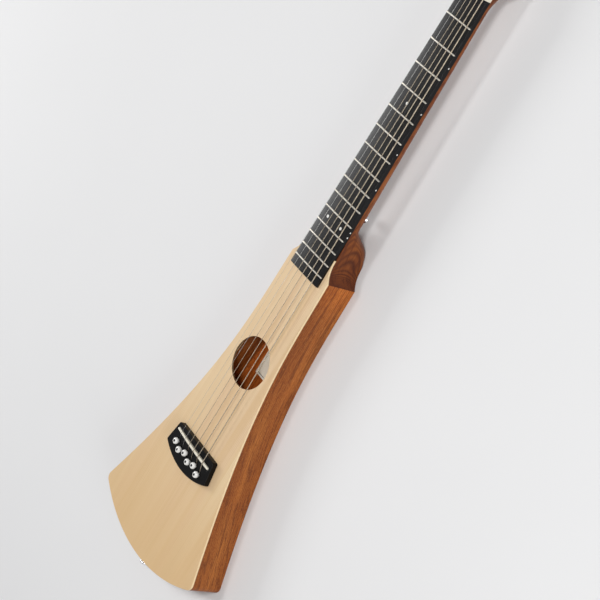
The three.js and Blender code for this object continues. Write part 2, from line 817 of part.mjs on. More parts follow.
function saddle() {
  const half = saddleLength / 2;
  const outline = [
    new THREE.Vector3(half, 0, saddleFloor),
    new THREE.Vector3(half, 0, saddleLevel(half) - saddleEndRadius),
    new THREE.Vector3(half - saddleEndRadius, 0, saddleLevel(half - saddleEndRadius)),
  ];
  for (let k = 1; k < tailSteps; k += 1) {
    const x = lerp(half - saddleEndRadius, saddleEndRadius - half, k / tailSteps);
    outline.push(new THREE.Vector3(x, 0, saddleLevel(x)));
  }
  outline.push(...outline.slice(0, 3).reverse().map((point) => new THREE.Vector3(-point.x, 0, point.z)));
  const straight = loft([-1, -1 / 2, 0, 1 / 2, 1].map((side) => outline.map((point) => {
    const drop = point.z > saddleFloor ? saddleCrown * side ** 2 : 0;
    return new THREE.Vector3(point.x, (side * saddleThickness) / 2, point.z - drop);
  })));
  const placed = moved(
    rotated(straight, new THREE.Vector3(0, 0, 1), saddleTurn),
    0,
    along(saddleCentre),
    0,
  );
  add('saddle', placed, 'bone');
}

// Bridge pins: a tapered shaft with a groove for the string, under a round head
function bridgePin(k) {
  const { radius, exit } = stringPlaces(k);
  const neckHeight = pinHeadHeight * pinNeckShare;
  const pin = turned([
    [0, -pinShaftLength],
    [pinTipRadius, -pinShaftLength],
    [pinShaftRadius, -pinShaftLength / 2],
    [pinShaftRadius, neckHeight / 2],
    ...pinHeadShares.map(([wide, high]) => [pinHeadRadius * wide, pinHeadHeight * high]),
    [0, pinHeadHeight],
  ], smallSides);
  const placed = moved(pin, pinX(k), along(pinFromNut(k)), bridgeTop);
  const room = radius + seam;
  const groove = moved(
    block(2 * room, 2 * pinHeadRadius, -pinShaftLength - overrun, neckHeight / 2),
    pinX(k),
    exit.y - room + pinHeadRadius,
    bridgeTop,
  );
  add(`bridge_pin_${k + 1}`, placed.subtract(groove), 'bone');
}

// Under the soundboard: the bridge plate and an A frame of braces, all cut to the cavity
const plateFront = bridgeFront - plateMargin;
const plateBack = bridgeFront + bridgeSideLength + bridgeBulge + plateMargin;
const legAtHole = (holeRadius + bodyHalf(holeCentre) - wallThickness) / 2;
const legAtTail = legTailShare * tailHalf;
const legX = (fromNut) => THREE.MathUtils.mapLinear(fromNut, holeCentre, tailEnd, legAtHole, legAtTail);
const betweenLegs = (fromNut) => legX(fromNut) - legWidth / 2 - 2 * seam;

function underSoundboard(name, solid, depth, finish) {
  const room = cavity(wallThickness + seam, rimLevel - depth, rimLevel);
  add(name, solid.intersect(room), finish);
}

function bridgePlate() {
  const half = betweenLegs(plateFront);
  const outline = bothSides([new THREE.Vector2(plateFront, half), new THREE.Vector2(plateBack, half)]);
  const plate = slab(outline, plateBottom, rimLevel, pinHoles);
  underSoundboard('bridge_plate', plate, plateThickness, 'maple');
}

function leg(name, side) {
  const ends = [joint, tailEnd].map((fromNut) => (
    new THREE.Vector3(side * legX(fromNut), along(fromNut), rimLevel)
  ));
  underSoundboard(name, bar(...ends, legWidth, legDepth, 0), legDepth, 'spruce');
}

// A bar between the two legs, square to the strings.
function crossBar(name, fromNut) {
  const half = betweenLegs(fromNut - barWidth / 2);
  const ends = [-1, 1].map((side) => new THREE.Vector3(side * half, along(fromNut), rimLevel));
  underSoundboard(name, bar(...ends, barWidth, barDepth, 0), barDepth, 'spruce');
}

function label() {
  const paper = block(labelWidth, labelLength, floorThickness, floorThickness + labelThickness);
  add('label', moved(paper, 0, along(holeCentre), 0), 'paper');
}

// Strings: each rises from its ball end in its pin's groove, bends over the saddle and the nut
// and winds round its post, one unbroken tube that keeps clear of the post and of itself.
function leastGap(points, diameter) {
  let least = Infinity;
  points.forEach((point, first) => {
    points.slice(first + windingSteps / 2).forEach((other) => {
      least = Math.min(least, point.distanceTo(other) - diameter);
    });
  });
  return least;
}

const windingGaps = [];

function string(k) {
  const { radius, nutPoint, saddlePoint, winding, exit } = stringPlaces(k);
  const ballLevel = plateBottom - seam - ballRadius;
  const ballY = along(pinFromNut(k)) + pinShaftRadius + seam + ballRadius;
  const run = new THREE.Vector3().subVectors(saddlePoint, exit).setLength(stringBend);
  const route = [
    new THREE.Vector3(exit.x, ballY, ballLevel),
    new THREE.Vector3(exit.x, exit.y + stringBend, ballLevel),
    new THREE.Vector3(exit.x, exit.y, ballLevel + stringBend),
    new THREE.Vector3(exit.x, exit.y, exit.z - stringBend),
    exit.clone().add(run),
    saddlePoint,
    nutPoint,
    ...winding,
  ];
  const ball = alongX(rod(ballRadius, -ballLength / 2, ballLength / 2));
  const whole = tube(route, radius, stringSides).add(moved(ball, exit.x, ballY, ballLevel));
  windingGaps.push(leastGap(winding, 2 * radius));
  add(`string_${k + 1}`, whole, k < 2 ? 'steel' : 'bronze');
}

// Strap buttons: a turned button with its own screw
function strapButton() {
  return turned([
    [0, -strapScrewLength],
    [strapScrewRadius, -strapScrewLength],
    [strapScrewRadius, seam],
    [strapBaseRadius, seam],
    [strapBaseRadius, seam + strapRimHeight],
    ...strapWaistShares.map((share) => [strapWaistRadius, strapButtonHeight * share]),
    [strapTopRadius, seam + strapButtonHeight - 2 * strapRimHeight],
    [strapTopRadius, seam + strapButtonHeight - strapRimHeight / 2],
    [strapTopRadius * strapFlatShare, seam + strapButtonHeight],
    [0, seam + strapButtonHeight],
  ], roundSides);
}

// Tuners, in the frame of the head: an enclosed box behind the head with its sleeve and ring nut,
// a post with a worm wheel, and a worm with its shaft and button
const wheelPitchRadius = (wheelTeeth * wormPitch) / (2 * Math.PI);
const gearDistance = wheelPitchRadius + wormPitchRadius;
const wheelRoom = wheelPitchRadius + toothAddendum + gearClearance;
const wormRoom = wormPitchRadius + toothAddendum + gearClearance;
const boxHalf = wheelRoom + boxWall;
const boxDepth = 2 * (wormRoom + boxWall);
const boxTop = -headThickness - seam;
const gearLevel = boxTop - boxDepth / 2;
const wormHalf = ((wormTurns + 1) * wormPitch) / 2;
const wormRootRadius = wormPitchRadius - toothDedendum;
const wormLead = Math.atan(wormPitch / (2 * Math.PI * wormPitchRadius));

function tunerHousing(k) {
  const { side, x, y } = postPlaces[k];
  const chamfer = 2 * boxWall;
  const corners = [
    [boxHalf, -boxHalf + chamfer],
    [boxHalf, gearDistance + wormRoom + boxWall - chamfer],
    [boxHalf - chamfer, gearDistance + wormRoom + boxWall],
  ];
  const right = corners.map(([cornerX, cornerY]) => new THREE.Vector2(cornerX, cornerY));
  right.unshift(new THREE.Vector2(boxHalf - chamfer, -boxHalf));
  const outline = [...right, ...right.map((point) => new THREE.Vector2(-point.x, point.y)).reverse()];
  const box = loft([
    atLevel(inset(outline, boxWall / 2), boxTop - boxDepth),
    atLevel(outline, boxTop - boxDepth + boxWall / 2),
    atLevel(outline, boxTop),
  ]);
  const sleeve = rod(sleeveRadius, boxTop - boxWall / 2, seam + ringNutThickness);
  const ringNut = rod(ringNutRadius, seam, seam + ringNutThickness, ringNutSides);
  const wheelHalf = wheelThickness / 2 + gearClearance;
  const wormEnd = wormHalf + gearClearance;
  const postBore = rod(postRadius + seam, gearLevel, seam + ringNutThickness + overrun);
  const pivotBore = rod(postPivotRadius + seam, gearLevel - boxDepth / 2 + boxWall, gearLevel);
  const wheelBore = rod(wheelRoom, gearLevel - wheelHalf, gearLevel + wheelHalf, roundSides);
  const wormBore = alongX(rod(wormRoom, -wormEnd, wormEnd, roundSides));
  const shaftBore = alongX(rod(shaftRadius + seam, 0, boxHalf + overrun, smallSides));
  const wormPlace = [0, gearDistance, gearLevel];
  const shaftOut = side > 0 ? shaftBore : rotated(shaftBore, new THREE.Vector3(0, 0, 1), Math.PI);
  const housing = box
    .add(sleeve)
    .add(ringNut)
    .subtract(postBore)
    .subtract(pivotBore)
    .subtract(wheelBore)
    .subtract(moved(wormBore, ...wormPlace))
    .subtract(moved(shaftOut, ...wormPlace));
  add(`tuner_housing_${k + 1}`, inHead(moved(housing, x, y, 0)), 'chrome');
}

// The worm wheel's teeth lean with the worm's thread.
function wheelRing(height) {
  const lean = (Math.tan(wormLead) * height) / wheelPitchRadius;
  const ring = [];
  for (let tooth = 0; tooth < wheelTeeth; tooth += 1) {
    const middle = Math.PI / 2 + lean + (2 * Math.PI * (tooth + 1 / 2)) / wheelTeeth;
    [[-1, 0], [-1, 1], [1, 1], [1, 0]].forEach(([side, tip]) => {
      const share = tip ? toothTipShare : toothRootShare;
      const angle = middle + (side * Math.PI * share) / wheelTeeth;
      const radius = wheelPitchRadius + (tip ? toothAddendum : -toothDedendum);
      ring.push(new THREE.Vector3(radius * Math.cos(angle), radius * Math.sin(angle), gearLevel + height));
    });
  }
  return ring;
}

function tunerPost(k) {
  const { x, y } = postPlaces[k];
  const chamfer = postRadius * postChamferShare;
  const post = turned([
    [0, gearLevel - boxDepth / 2 + boxWall + seam],
    [postPivotRadius, gearLevel - boxDepth / 2 + boxWall + seam],
    [postPivotRadius, gearLevel],
    [postRadius, gearLevel],
    [postRadius, postWaistFrom],
    [postWaistRadius, postWaistFrom + chamfer],
    [postWaistRadius, postWaistTo - chamfer],
    [postRadius, postWaistTo],
    [postRadius, postAboveHead - chamfer],
    [postRadius - chamfer, postAboveHead],
    [0, postAboveHead],
  ], postSides);
  const wheel = loft([wheelRing(-wheelThickness / 2), wheelRing(wheelThickness / 2)]);
  const hole = alongX(rod(stringHoleRadius, -postRadius - overrun, postRadius + overrun, smallSides));
  const whole = post.add(wheel).subtract(moved(hole, 0, 0, postAboveHead - stringHoleBelowTop));
  add(`tuner_post_${k + 1}`, inHead(moved(whole, x, y, 0)), 'chrome');
}

// A right-handed thread of trapezoid section round the X axis.
function wormThread() {
  const rings = [];
  for (let step = 0; step <= wormTurns * smallSides; step += 1) {
    const turn = step / smallSides;
    const angle = Math.PI + 2 * Math.PI * (turn - wormTurns / 2);
    const middle = wormPitch * (turn - wormTurns / 2);
    rings.push([[-1, 0], [-1, 1], [1, 1], [1, 0]].map(([side, tip]) => {
      const share = tip ? toothTipShare : toothRootShare;
      const radius = tip ? wormPitchRadius + toothAddendum : wormRootRadius - seam;
      const place = middle + (side * share * wormPitch) / 2;
      return new THREE.Vector3(place, radius * Math.cos(angle), radius * Math.sin(angle));
    }));
  }
  return loft(rings);
}

function tunerButton(k) {
  const { side, x, y } = postPlaces[k];
  const collar = boxHalf + seam;
  const collarRadius = shaftRadius * collarShare;
  const start = boxHalf + buttonFromBox;
  const sections = [
    [-wormHalf, wormRootRadius, wormRootRadius],
    [wormHalf, wormRootRadius, wormRootRadius],
    [wormHalf, shaftRadius, shaftRadius],
    [collar, shaftRadius, shaftRadius],
    [collar, collarRadius, collarRadius],
    [collar + boxWall, collarRadius, collarRadius],
    [start, shaftRadius, shaftRadius],
    ...buttonShares.map(([place, wide, thick]) => (
      [start + buttonLength * place, buttonHalfWidth * wide, buttonHalfThickness * thick]
    )),
  ];
  const rings = sections.map(([place, wide, thick]) => circle(1, smallSides).map((point) => (
    new THREE.Vector3(side * place, wide * point.x, thick * point.y)
  )));
  const whole = loft(rings).add(wormThread());
  add(`tuner_button_${k + 1}`, inHead(moved(whole, x, y + gearDistance, gearLevel)), 'chrome');
}

// Putting the guitar together

soundboard();
bodyShell();
neck();
fretboard();
fretNumbers.forEach(fret);
nut();
bridge();
saddle();
bridgePlate();
leg('brace_bass', 1);
leg('brace_treble', -1);
crossBar('brace_upper', (blockEnd + holeCentre - holeRadius) / 2);
crossBar('brace_cross', (holeCentre + holeRadius + plateFront) / 2);
label();
stringDiameters.forEach((_, k) => {
  bridgePin(k);
  string(k);
  tunerHousing(k);
  tunerPost(k);
  tunerButton(k);
});
const tailButton = rotated(alongY(strapButton()), new THREE.Vector3(0, 0, 1), Math.PI);
add('strap_button_tail', moved(tailButton, 0, along(tailEnd), bodyDepth / 2), 'chrome');
const neckButton = rotated(strapButton(), new THREE.Vector3(1, 0, 0), Math.PI);
add(
  'strap_button_neck',
  moved(neckButton, 0, along(neckStrap), rimLevel - neckDepth(neckStrap)),
  'chrome',
);
console.log(`least gap in the string windings: ${Math.min(...windingGaps).toFixed(2)} mm`);

export default guitar;
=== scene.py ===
# Travel guitar: a slim trumpet-shaped body carved from one block, a spruce soundboard, a black
# fretboard with fifteen frets, six steel strings and six enclosed worm-geared tuners.
# Lengths are metres. +X is the bass side, +Y points to the head, +Z comes out of the soundboard.
import json
from math import atan, atan2, cos, hypot, pi, radians, sin, sqrt

import bmesh
import bpy
import numpy as np
from mathutils import Matrix, Vector
from mathutils.geometry import tessellate_polygon


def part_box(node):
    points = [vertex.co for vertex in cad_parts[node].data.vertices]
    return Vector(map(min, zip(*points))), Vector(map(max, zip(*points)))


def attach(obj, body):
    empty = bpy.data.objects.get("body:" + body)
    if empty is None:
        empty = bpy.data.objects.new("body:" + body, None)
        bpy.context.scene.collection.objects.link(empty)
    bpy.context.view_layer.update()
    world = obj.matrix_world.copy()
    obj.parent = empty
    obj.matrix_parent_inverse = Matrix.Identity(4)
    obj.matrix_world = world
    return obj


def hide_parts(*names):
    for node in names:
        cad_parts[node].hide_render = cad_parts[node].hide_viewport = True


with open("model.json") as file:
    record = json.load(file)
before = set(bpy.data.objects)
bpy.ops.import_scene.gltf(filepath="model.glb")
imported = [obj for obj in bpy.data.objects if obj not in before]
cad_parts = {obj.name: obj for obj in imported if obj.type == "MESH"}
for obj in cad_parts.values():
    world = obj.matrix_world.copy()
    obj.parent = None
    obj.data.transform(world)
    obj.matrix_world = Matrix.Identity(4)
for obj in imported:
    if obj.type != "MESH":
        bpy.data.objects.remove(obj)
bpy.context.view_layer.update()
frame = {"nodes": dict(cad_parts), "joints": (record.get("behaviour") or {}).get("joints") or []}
scene = bpy.context.scene
scene.view_settings.view_transform = "Standard"


# Camera: it stands off the bass side and above the guitar, with a long lens, and is rolled so
# that the neck runs up to the right of the frame.
camera_place = Vector((1.3441, 0.5465, 1.4419))
camera_right = Vector((0.508, 0.500, -0.701)).normalized()
camera_up = Vector((-0.556, 0.812, 0.177))
focal_length = 108
sensor_width = 36


def in_scene(name, data):
    """A new object, linked to the scene."""
    made = bpy.data.objects.new(name, data)
    scene.collection.objects.link(made)
    return made


camera_back = camera_right.cross(camera_up).normalized()
camera_up = camera_back.cross(camera_right)
camera = in_scene("camera", bpy.data.cameras.new("camera"))
camera.data.lens = focal_length
camera.data.sensor_width = sensor_width
camera_turn = Matrix((camera_right, camera_up, camera_back)).transposed()
camera.matrix_world = Matrix.Translation(camera_place) @ camera_turn.to_4x4()
scene.camera = camera


# Body: back, sides and walls are carved from one block of mahogany, with a wall of 5 mm, a solid
# block at each end and a flat back whose edge is eased. The finish is a thin satin lacquer.
body_low, body_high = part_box("body_shell")
joint, tail_end, rim_level = body_high.y, body_low.y, body_high.z
shoulder_half = 0.0374
tail_half = 0.1079
tail_radius = 0.2
tail_corner_radius = 0.008
side_start_slope = 0.023
side_end_slope = 0.351
side_start_share = 0.2565
side_end_share = 0.5485
back_edge_radius = 0.0015
wall_thickness = 0.005
floor_thickness = 0.0035
floor_cove = 0.003
tail_wall_thickness = 0.014
head_block_length = 0.0406
tail_centre = tail_end + tail_radius
merge_distance = 1e-7
mahogany_dark = (0.27, 0.074, 0.013, 1)
mahogany_light = (0.46, 0.15, 0.03, 1)
mahogany_orange = (0.6, 0.225, 0.048, 1)
mahogany_gold = (0.7, 0.33, 0.09, 1)
mahogany_ring = (0.13, 0.03, 0.007, 1)
mahogany_fibre = (0.62, 0.48, 0.36, 1)
mahogany_pore = (0.1, 0.024, 0.006, 1)
mahogany_end = (0.16, 0.036, 0.008, 1)
grain_runout = 0.04


def unit(vectors):
    """Vectors with their length made 1."""
    return vectors / np.linalg.norm(vectors, axis=-1, keepdims=True)


def cubic(start, start_handle, end_handle, end, count):
    """A cubic curve that leaves each of its ends towards that end's handle."""
    t = np.linspace(0, 1, count)[:, None]
    weights = (1 - t)**3, 3 * t * (1 - t)**2, 3 * t**2 * (1 - t), t**3
    places = start, start_handle, end_handle, end
    return sum(weight * np.asarray(place) for weight, place in zip(weights, places))


def arc(centre, radius, start, end, count):
    """Points on a circle, from one angle to another."""
    angle = np.linspace(start, end, count)
    return np.asarray(centre) + radius * np.column_stack([np.cos(angle), np.sin(angle)])


def body_side(drawn_in=0.0):
    """One side of the body, as (x, y) points from the joint to the middle of the tail: a cubic curve,
    a round corner that touches its end, and half of the tail's arc, all moved inwards square to it."""
    tail_place = np.array([joint - tail_centre, 0])
    corner = tail_place + (sqrt(tail_radius**2 - tail_half**2), tail_half)
    start = np.array([0, shoulder_half])
    curve = cubic(start, start + side_start_share * corner[0] * np.array([1, side_start_slope]),
                  corner - side_end_share * corner[0] * np.array([1, side_end_slope]), corner, 90)
    forward = np.array([1, side_end_slope]) / hypot(1, side_end_slope)
    inward = np.array([forward[1], -forward[0]])
    offset = corner + tail_corner_radius * inward - tail_place
    back = offset @ forward
    run = back - sqrt(back**2 - offset @ offset + (tail_radius - tail_corner_radius)**2)
    centre = tail_place + offset - run * forward
    side_angle = atan2(-inward[1], -inward[0])
    tail_angle = atan2(centre[1], centre[0] - tail_place[0])
    curve = curve[curve[:, 0] < centre[0] + tail_corner_radius * (cos(side_angle) - 0.5)]
    points = np.vstack([curve, arc(centre, tail_corner_radius, side_angle, tail_angle, 12),
                        arc(tail_place, tail_radius, tail_angle, 0, 40)[1:]])
    along = unit(np.gradient(points, axis=0))
    points = points + drawn_in * np.column_stack([along[:, 1], -along[:, 0]])
    points[-1, 1] = 0
    return np.column_stack([points[:, 1], joint - np.maximum(points[:, 0], 0)])


def cavity_side(drawn_in=0.0):
    """One side of the hollow: the body's side moved inwards by the wall, kept inside a smaller arc at
    the tail and cut off square at the head block."""
    from_centre = body_side(wall_thickness + drawn_in) - (0, tail_centre)
    reach = np.linalg.norm(from_centre, axis=1, keepdims=True)
    limit = tail_radius - tail_wall_thickness - drawn_in
    side = from_centre * np.minimum(1, limit / reach) + (0, tail_centre)
    side[:, 1] = np.minimum(side[:, 1], joint - head_block_length - drawn_in)
    return side


def both_sides(side):
    """A closed outline: one side's points, which may end on the centre line, and their mirror image."""
    return np.vstack([side, side[side[:, 0] > 0][::-1] * (-1, 1)])


def edge_round(radius, steps):
    """The quarter round of an edge, from its side to its flat face: how far each point is drawn in from
    the side, and how far it falls short of the face. Without a radius the edge is one plain point."""
    bend = np.linspace(0, pi / 2, steps + 1) if radius else np.array([pi / 2])
    return radius * (1 - np.cos(bend)), radius * (1 - np.sin(bend))


def raised(flat, level):
    """Flat points set at one level, or each at its own."""
    return np.concatenate([flat, np.broadcast_to(level, flat.shape[:-1])[..., None]], axis=-1)


def at_levels(outlines, levels):
    """Flat outlines set at their levels, as rings of points."""
    return np.stack([raised(outline, level) for outline, level in zip(outlines, levels)])


def folded(rings):
    """The rings with one more at each end that is their end ring pressed flat onto the centre line."""
    return np.concatenate([rings[:1] * (0, 1, 1), rings, rings[-1:] * (0, 1, 1)])


def skin(rings):
    """The points of rings that each close on themselves, and the quads between each ring and the next."""
    count, around = rings.shape[:2]
    here = np.arange(count * around).reshape(count, around)
    beside = np.roll(here, -1, axis=1)
    quads = np.stack([here[:-1], beside[:-1], beside[1:], here[1:]], axis=-1)
    return rings.reshape(-1, 3), quads.reshape(-1, 4).tolist()


def solid_mesh(name, parts):
    """A mesh of closed solids, each given as its points and faces, with doubled points merged and all
    faces turned outwards."""
    shape = bmesh.new()
    for points, faces in parts:
        part = bpy.data.meshes.new("part")
        part.from_pydata(points.tolist(), [], faces)
        shape.from_mesh(part)
        bpy.data.meshes.remove(part)
    bmesh.ops.remove_doubles(shape, verts=shape.verts, dist=merge_distance)
    bmesh.ops.recalc_face_normals(shape, faces=shape.faces)
    mesh = bpy.data.meshes.new(name)
    shape.to_mesh(mesh)
    shape.free()
    return mesh


def piece(name, parts, material, node=None, body="root", crisp=35, flats=True):
    """An object of closed solids that stands for a CAD node and rides on a body. Edges that turn by more
    than crisp degrees stay sharp, and flats keeps wide flat faces even beside small round ones."""
    mesh = solid_mesh(name, parts)
    mesh.shade_smooth()
    mesh.set_sharp_from_angle(angle=radians(crisp))
    mesh.materials.append(material)
    made = in_scene(name, mesh)
    if flats:
        made.modifiers.new("flat faces stay flat", "WEIGHTED_NORMAL").keep_sharp = True
    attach(made, body)
    if node:
        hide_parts(node)
    return made


class Nodes:
    """A shader node tree under construction. Most methods add a node and give the socket it puts out."""

    def __init__(self, tree):
        self.tree = tree

    def feed(self, socket, value):
        """Links a socket to another one, or gives it a plain value."""
        if isinstance(value, bpy.types.NodeSocket):
            self.tree.links.new(value, socket)
        else:
            socket.default_value = value

    def add(self, kind, inputs=(), **settings):
        """Adds any node, with its properties set and its inputs fed, and gives all of its outputs."""
        made = self.tree.nodes.new("ShaderNode" + kind)
        for label, value in settings.items():
            setattr(made, label, value)
        for label, value in dict(inputs).items():
            self.feed(made.inputs[label], value)
        return made.outputs

    def place(self):
        """The object's own coordinates."""
        return self.add("TexCoord")["Object"]

    def axes(self, vector):
        """A vector's X, Y and Z."""
        return self.add("SeparateXYZ", {"Vector": vector})

    def calc(self, operation, *values):
        """The result of a Math node."""
        return self.add("Math", enumerate(values), operation=operation)[0]

    def mixed(self, factor, first, second, how="MIX"):
        """A colour mixed from two others."""
        return self.add("Mix", {0: factor, 6: first, 7: second}, data_type="RGBA", blend_type=how)[2]

    def layered(self, ground, *layers):
        """A colour under layers: each has a mask, a strength, a colour and maybe its own way to mix."""
        for mask, strength, colour, *how in layers:
            ground = self.mixed(self.calc("MULTIPLY", mask, strength), ground, colour, *how)
        return ground

    def noise(self, place, scale, detail=2.0, roughness=0.5, stretch=(1, 1, 1)):
        """Noise from 0 to 1, with so many features per metre along each axis as scale times stretch."""
        place = self.add("VectorMath", {0: place, 1: stretch}, operation="MULTIPLY")[0]
        inputs = {"Vector": place, "Scale": scale, "Detail": detail, "Roughness": roughness}
        return self.add("TexNoise", inputs)["Fac"]

    def step(self, value, low, high):
        """0 below low and 1 above high, with a soft step between."""
        inputs = {"Value": value, "From Min": low, "From Max": high}
        return self.add("MapRange", inputs, interpolation_type="SMOOTHSTEP")["Result"]

    def patches(self, place, stretch, scale, detail, low, high):
        """Noise cut to soft patches between two of its values."""
        return self.step(self.noise(place, scale, detail, stretch=stretch), low, high)

    def grain(self, place, ring_width, sway, line, pore_width):
        """The outputs of the wood grain group."""
        inputs = {"Place": place, "Ring Width": ring_width, "Sway": sway, "Line": line,
                  "Pore Width": pore_width}
        return self.add("Group", inputs, node_tree=bpy.data.node_groups["wood grain"])

    def bump(self, shader, height, strength, distance):
        """Dents a shader's surface."""
        inputs = {"Height": height, "Strength": strength, "Distance": distance}
        self.feed(shader["Normal"], self.add("Bump", inputs)["Normal"])


def material(name, **values):
    """A material with one Principled shader, whose plain values are set on its own sockets."""
    made = bpy.data.materials.new(name)
    made.use_nodes = True
    shader = made.node_tree.nodes["Principled BSDF"].inputs
    for label, value in values.items():
        shader[label.replace("_", " ")].default_value = value
    return made, Nodes(made.node_tree), shader


def make_grain_group():
    """Wood with its rings across X and its fibres along Y. Rings is a sine of X over the ring width,
    swayed by slow noise and raised to a power so that the late wood is a thin line. Bands are slow noise
    across the rings, and fibres, pores and flecks are noise drawn out along Y: the pores are its high
    end, cut off as dark dashes, and the flecks its low end."""
    made = bpy.data.node_groups.new("wood grain", "ShaderNodeTree")
    for label in ("Place", "Ring Width", "Sway", "Line", "Pore Width"):
        kind = "NodeSocketVector" if label == "Place" else "NodeSocketFloat"
        made.interface.new_socket(name=label, in_out="INPUT", socket_type=kind)
    for label in ("Rings", "Bands", "Fibres", "Pores", "Flecks"):
        made.interface.new_socket(name=label, in_out="OUTPUT", socket_type="NodeSocketFloat")
    tree = Nodes(made)
    given = made.nodes.new("NodeGroupInput").outputs
    out = made.nodes.new("NodeGroupOutput").inputs
    place = given["Place"]
    slow = tree.noise(place, 9, 1, stretch=(1, 0.3, 1))
    sway = tree.calc("MULTIPLY", tree.calc("SUBTRACT", slow, 0.5), given["Sway"])
    parts = tree.axes(place)
    across = tree.calc("ADD", parts["X"], sway)
    swayed = tree.add("CombineXYZ", {"X": across, "Y": parts["Y"], "Z": parts["Z"]})[0]
    uneven = tree.noise(swayed, 150, 1, stretch=(1, 0.02, 0.05))
    turns = tree.calc("MULTIPLY_ADD", uneven, 2.5, tree.calc("DIVIDE", across, given["Ring Width"]))
    wave = tree.calc("SINE", tree.calc("MULTIPLY", turns, 2 * pi))
    line = tree.calc("POWER", tree.calc("MULTIPLY_ADD", wave, 0.5, 0.5), given["Line"])
    strength = tree.patches(swayed, (1, 0.03, 0.1), 260, 2, 0.2, 0.6)
    pore_scale = tree.calc("DIVIDE", 1.0, given["Pore Width"])
    pores = tree.noise(place, pore_scale, 1, stretch=(0.6, 0.05, 0.6))
    bands = tree.noise(swayed, 48, 3, 0.6, (1, 0.05, 0.3))
    tree.feed(out["Rings"], tree.calc("MULTIPLY", line, strength))
    tree.feed(out["Bands"], tree.step(bands, 0.25, 0.75))
    tree.feed(out["Fibres"], tree.noise(swayed, 1600, 2, 0.6, (1, 0.02, 1)))
    tree.feed(out["Pores"], tree.step(pores, 0.57, 0.68))
    tree.feed(out["Flecks"], tree.calc("SUBTRACT", 1.0, tree.step(pores, 0.3, 0.44)))


def mahogany(name, pith, ring_width, ring_strength, dash_strength, stain, painted_joint_light, painted_joint_reach, painted_up_light):
    """Satin mahogany: a red-brown ground with lighter orange bands and darker red streaks, growth rings,
    golden flecks, and open pores as short dark dashes that also dent the surface. The rings are slim
    cones round the pith, a line along Y through (x, z). Painted shade darkens the wood towards the
    soundboard. Near the joint a painted light is multiplied in: a painted sheen above 1 and painted shade
    below 1. Faces that look up take a painted light. End grain, which faces the head or the tail, is
    darker, and the stain tints all of it."""
    made, tree, shader = material(name, Specular_IOR_Level=0.22)
    parts = tree.axes(tree.place())
    aside = tree.calc("SUBTRACT", parts["X"], pith[0])
    above = tree.calc("SUBTRACT", parts["Z"], pith[1])
    squares = tree.calc("MULTIPLY_ADD", aside, aside, tree.calc("MULTIPLY", above, above))
    reach = tree.calc("MULTIPLY_ADD", parts["Y"], grain_runout, tree.calc("SQRT", squares))
    third = tree.calc("ADD", parts["X"], parts["Z"])
    place = tree.add("CombineXYZ", {"X": reach, "Y": parts["Y"], "Z": third})[0]
    grain = tree.grain(place, ring_width, sway=0.004, line=1.3, pore_width=0.0003)
    facing = tree.axes(tree.add("NewGeometry")["True Normal"])
    end_grain = tree.step(tree.calc("ABSOLUTE", facing["Y"]), 0.25, 0.75)
    from_joint = tree.calc("ABSOLUTE", tree.calc("SUBTRACT", parts["Y"], joint))
    tree.feed(shader["Base Color"], tree.layered(
        tree.mixed(grain["Bands"], mahogany_dark, mahogany_light),
        (tree.patches(place, (1, 0.12, 1), 42, 2, 0.42, 0.68), 0.5, mahogany_orange),
        # Painted shade: the wood is darkened towards the soundboard's level, so the lower side looks lit.
        (tree.step(parts["Z"], 0.01, 0.045), 0.55, mahogany_dark),
        (tree.patches(place, (1, 0.02, 1), 230, 2, 0.48, 0.66), 0.6, mahogany_ring),
        (grain["Rings"], ring_strength, mahogany_ring),
        (grain["Fibres"], 0.3, mahogany_fibre, "MULTIPLY"),
        (grain["Flecks"], 0.4 * dash_strength, mahogany_gold),
        (grain["Pores"], dash_strength, mahogany_pore),
        # Painted light: faces that look up, such as the floor of the hollow, are lightened as if lit from
        # above.
        (tree.step(facing["Z"], 0.3, 0.9), 1, painted_up_light, "MULTIPLY"),
        (end_grain, 0.45, mahogany_end),
        # Painted light near the joint: a painted sheen where the tint is above 1, painted shade where it is
        # below 1.
        (tree.step(from_joint, painted_joint_reach, 0.0), 1, painted_joint_light, "MULTIPLY"),
        (1, 1, stain, "MULTIPLY")))
    rough = tree.calc("MULTIPLY_ADD", grain["Pores"], 0.2, 0.38)
    tree.feed(shader["Roughness"], tree.calc("MULTIPLY_ADD", grain["Fibres"], 0.12, rough))
    fibre_height = tree.calc("MULTIPLY", grain["Fibres"], 0.25)
    tree.bump(shader, tree.calc("SUBTRACT", fibre_height, grain["Pores"]), 0.3, 0.00006)
    return made


make_grain_group()
# The body's painted joint light is a painted sheen on the flank by the joint.
body_wood = mahogany("body mahogany", pith=(0, -1.0), ring_width=0.0026, ring_strength=0.45,
                     dash_strength=0.6, stain=(1.06, 1.02, 0.97, 1), painted_joint_light=(1.35, 1.28, 1.1, 1),
                     painted_joint_reach=0.05, painted_up_light=(1.5, 1.24, 1.0, 1))
back_in, back_rise = edge_round(back_edge_radius, 6)
cove_in, cove_rise = edge_round(floor_cove, 6)
outer = at_levels([both_sides(body_side(d)) for d in [0, *back_in]], [rim_level, *back_rise])
inner = at_levels([both_sides(cavity_side(d)) for d in [0, *cove_in]],
                  [rim_level, *(floor_thickness + cove_rise)])
piece("carved_body", [skin(folded(np.concatenate([outer[::-1], inner])))], body_wood,
      "body_shell")


# Label: a paper sheet glued to the floor under the soundhole. Its print is left off: it has only
# a plain ruled frame inside its edges.
label_low, label_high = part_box("label")
label_margin = 0.0026
label_rule = 0.0008
label_corner = 0.0008
label_border = (0.98, 0.91, 0.78, 1)
label_ground = (0.96, 0.88, 0.74, 1)
label_aged = (0.8, 0.71, 0.56, 1)
label_ink = (0.13, 0.14, 0.12, 1)


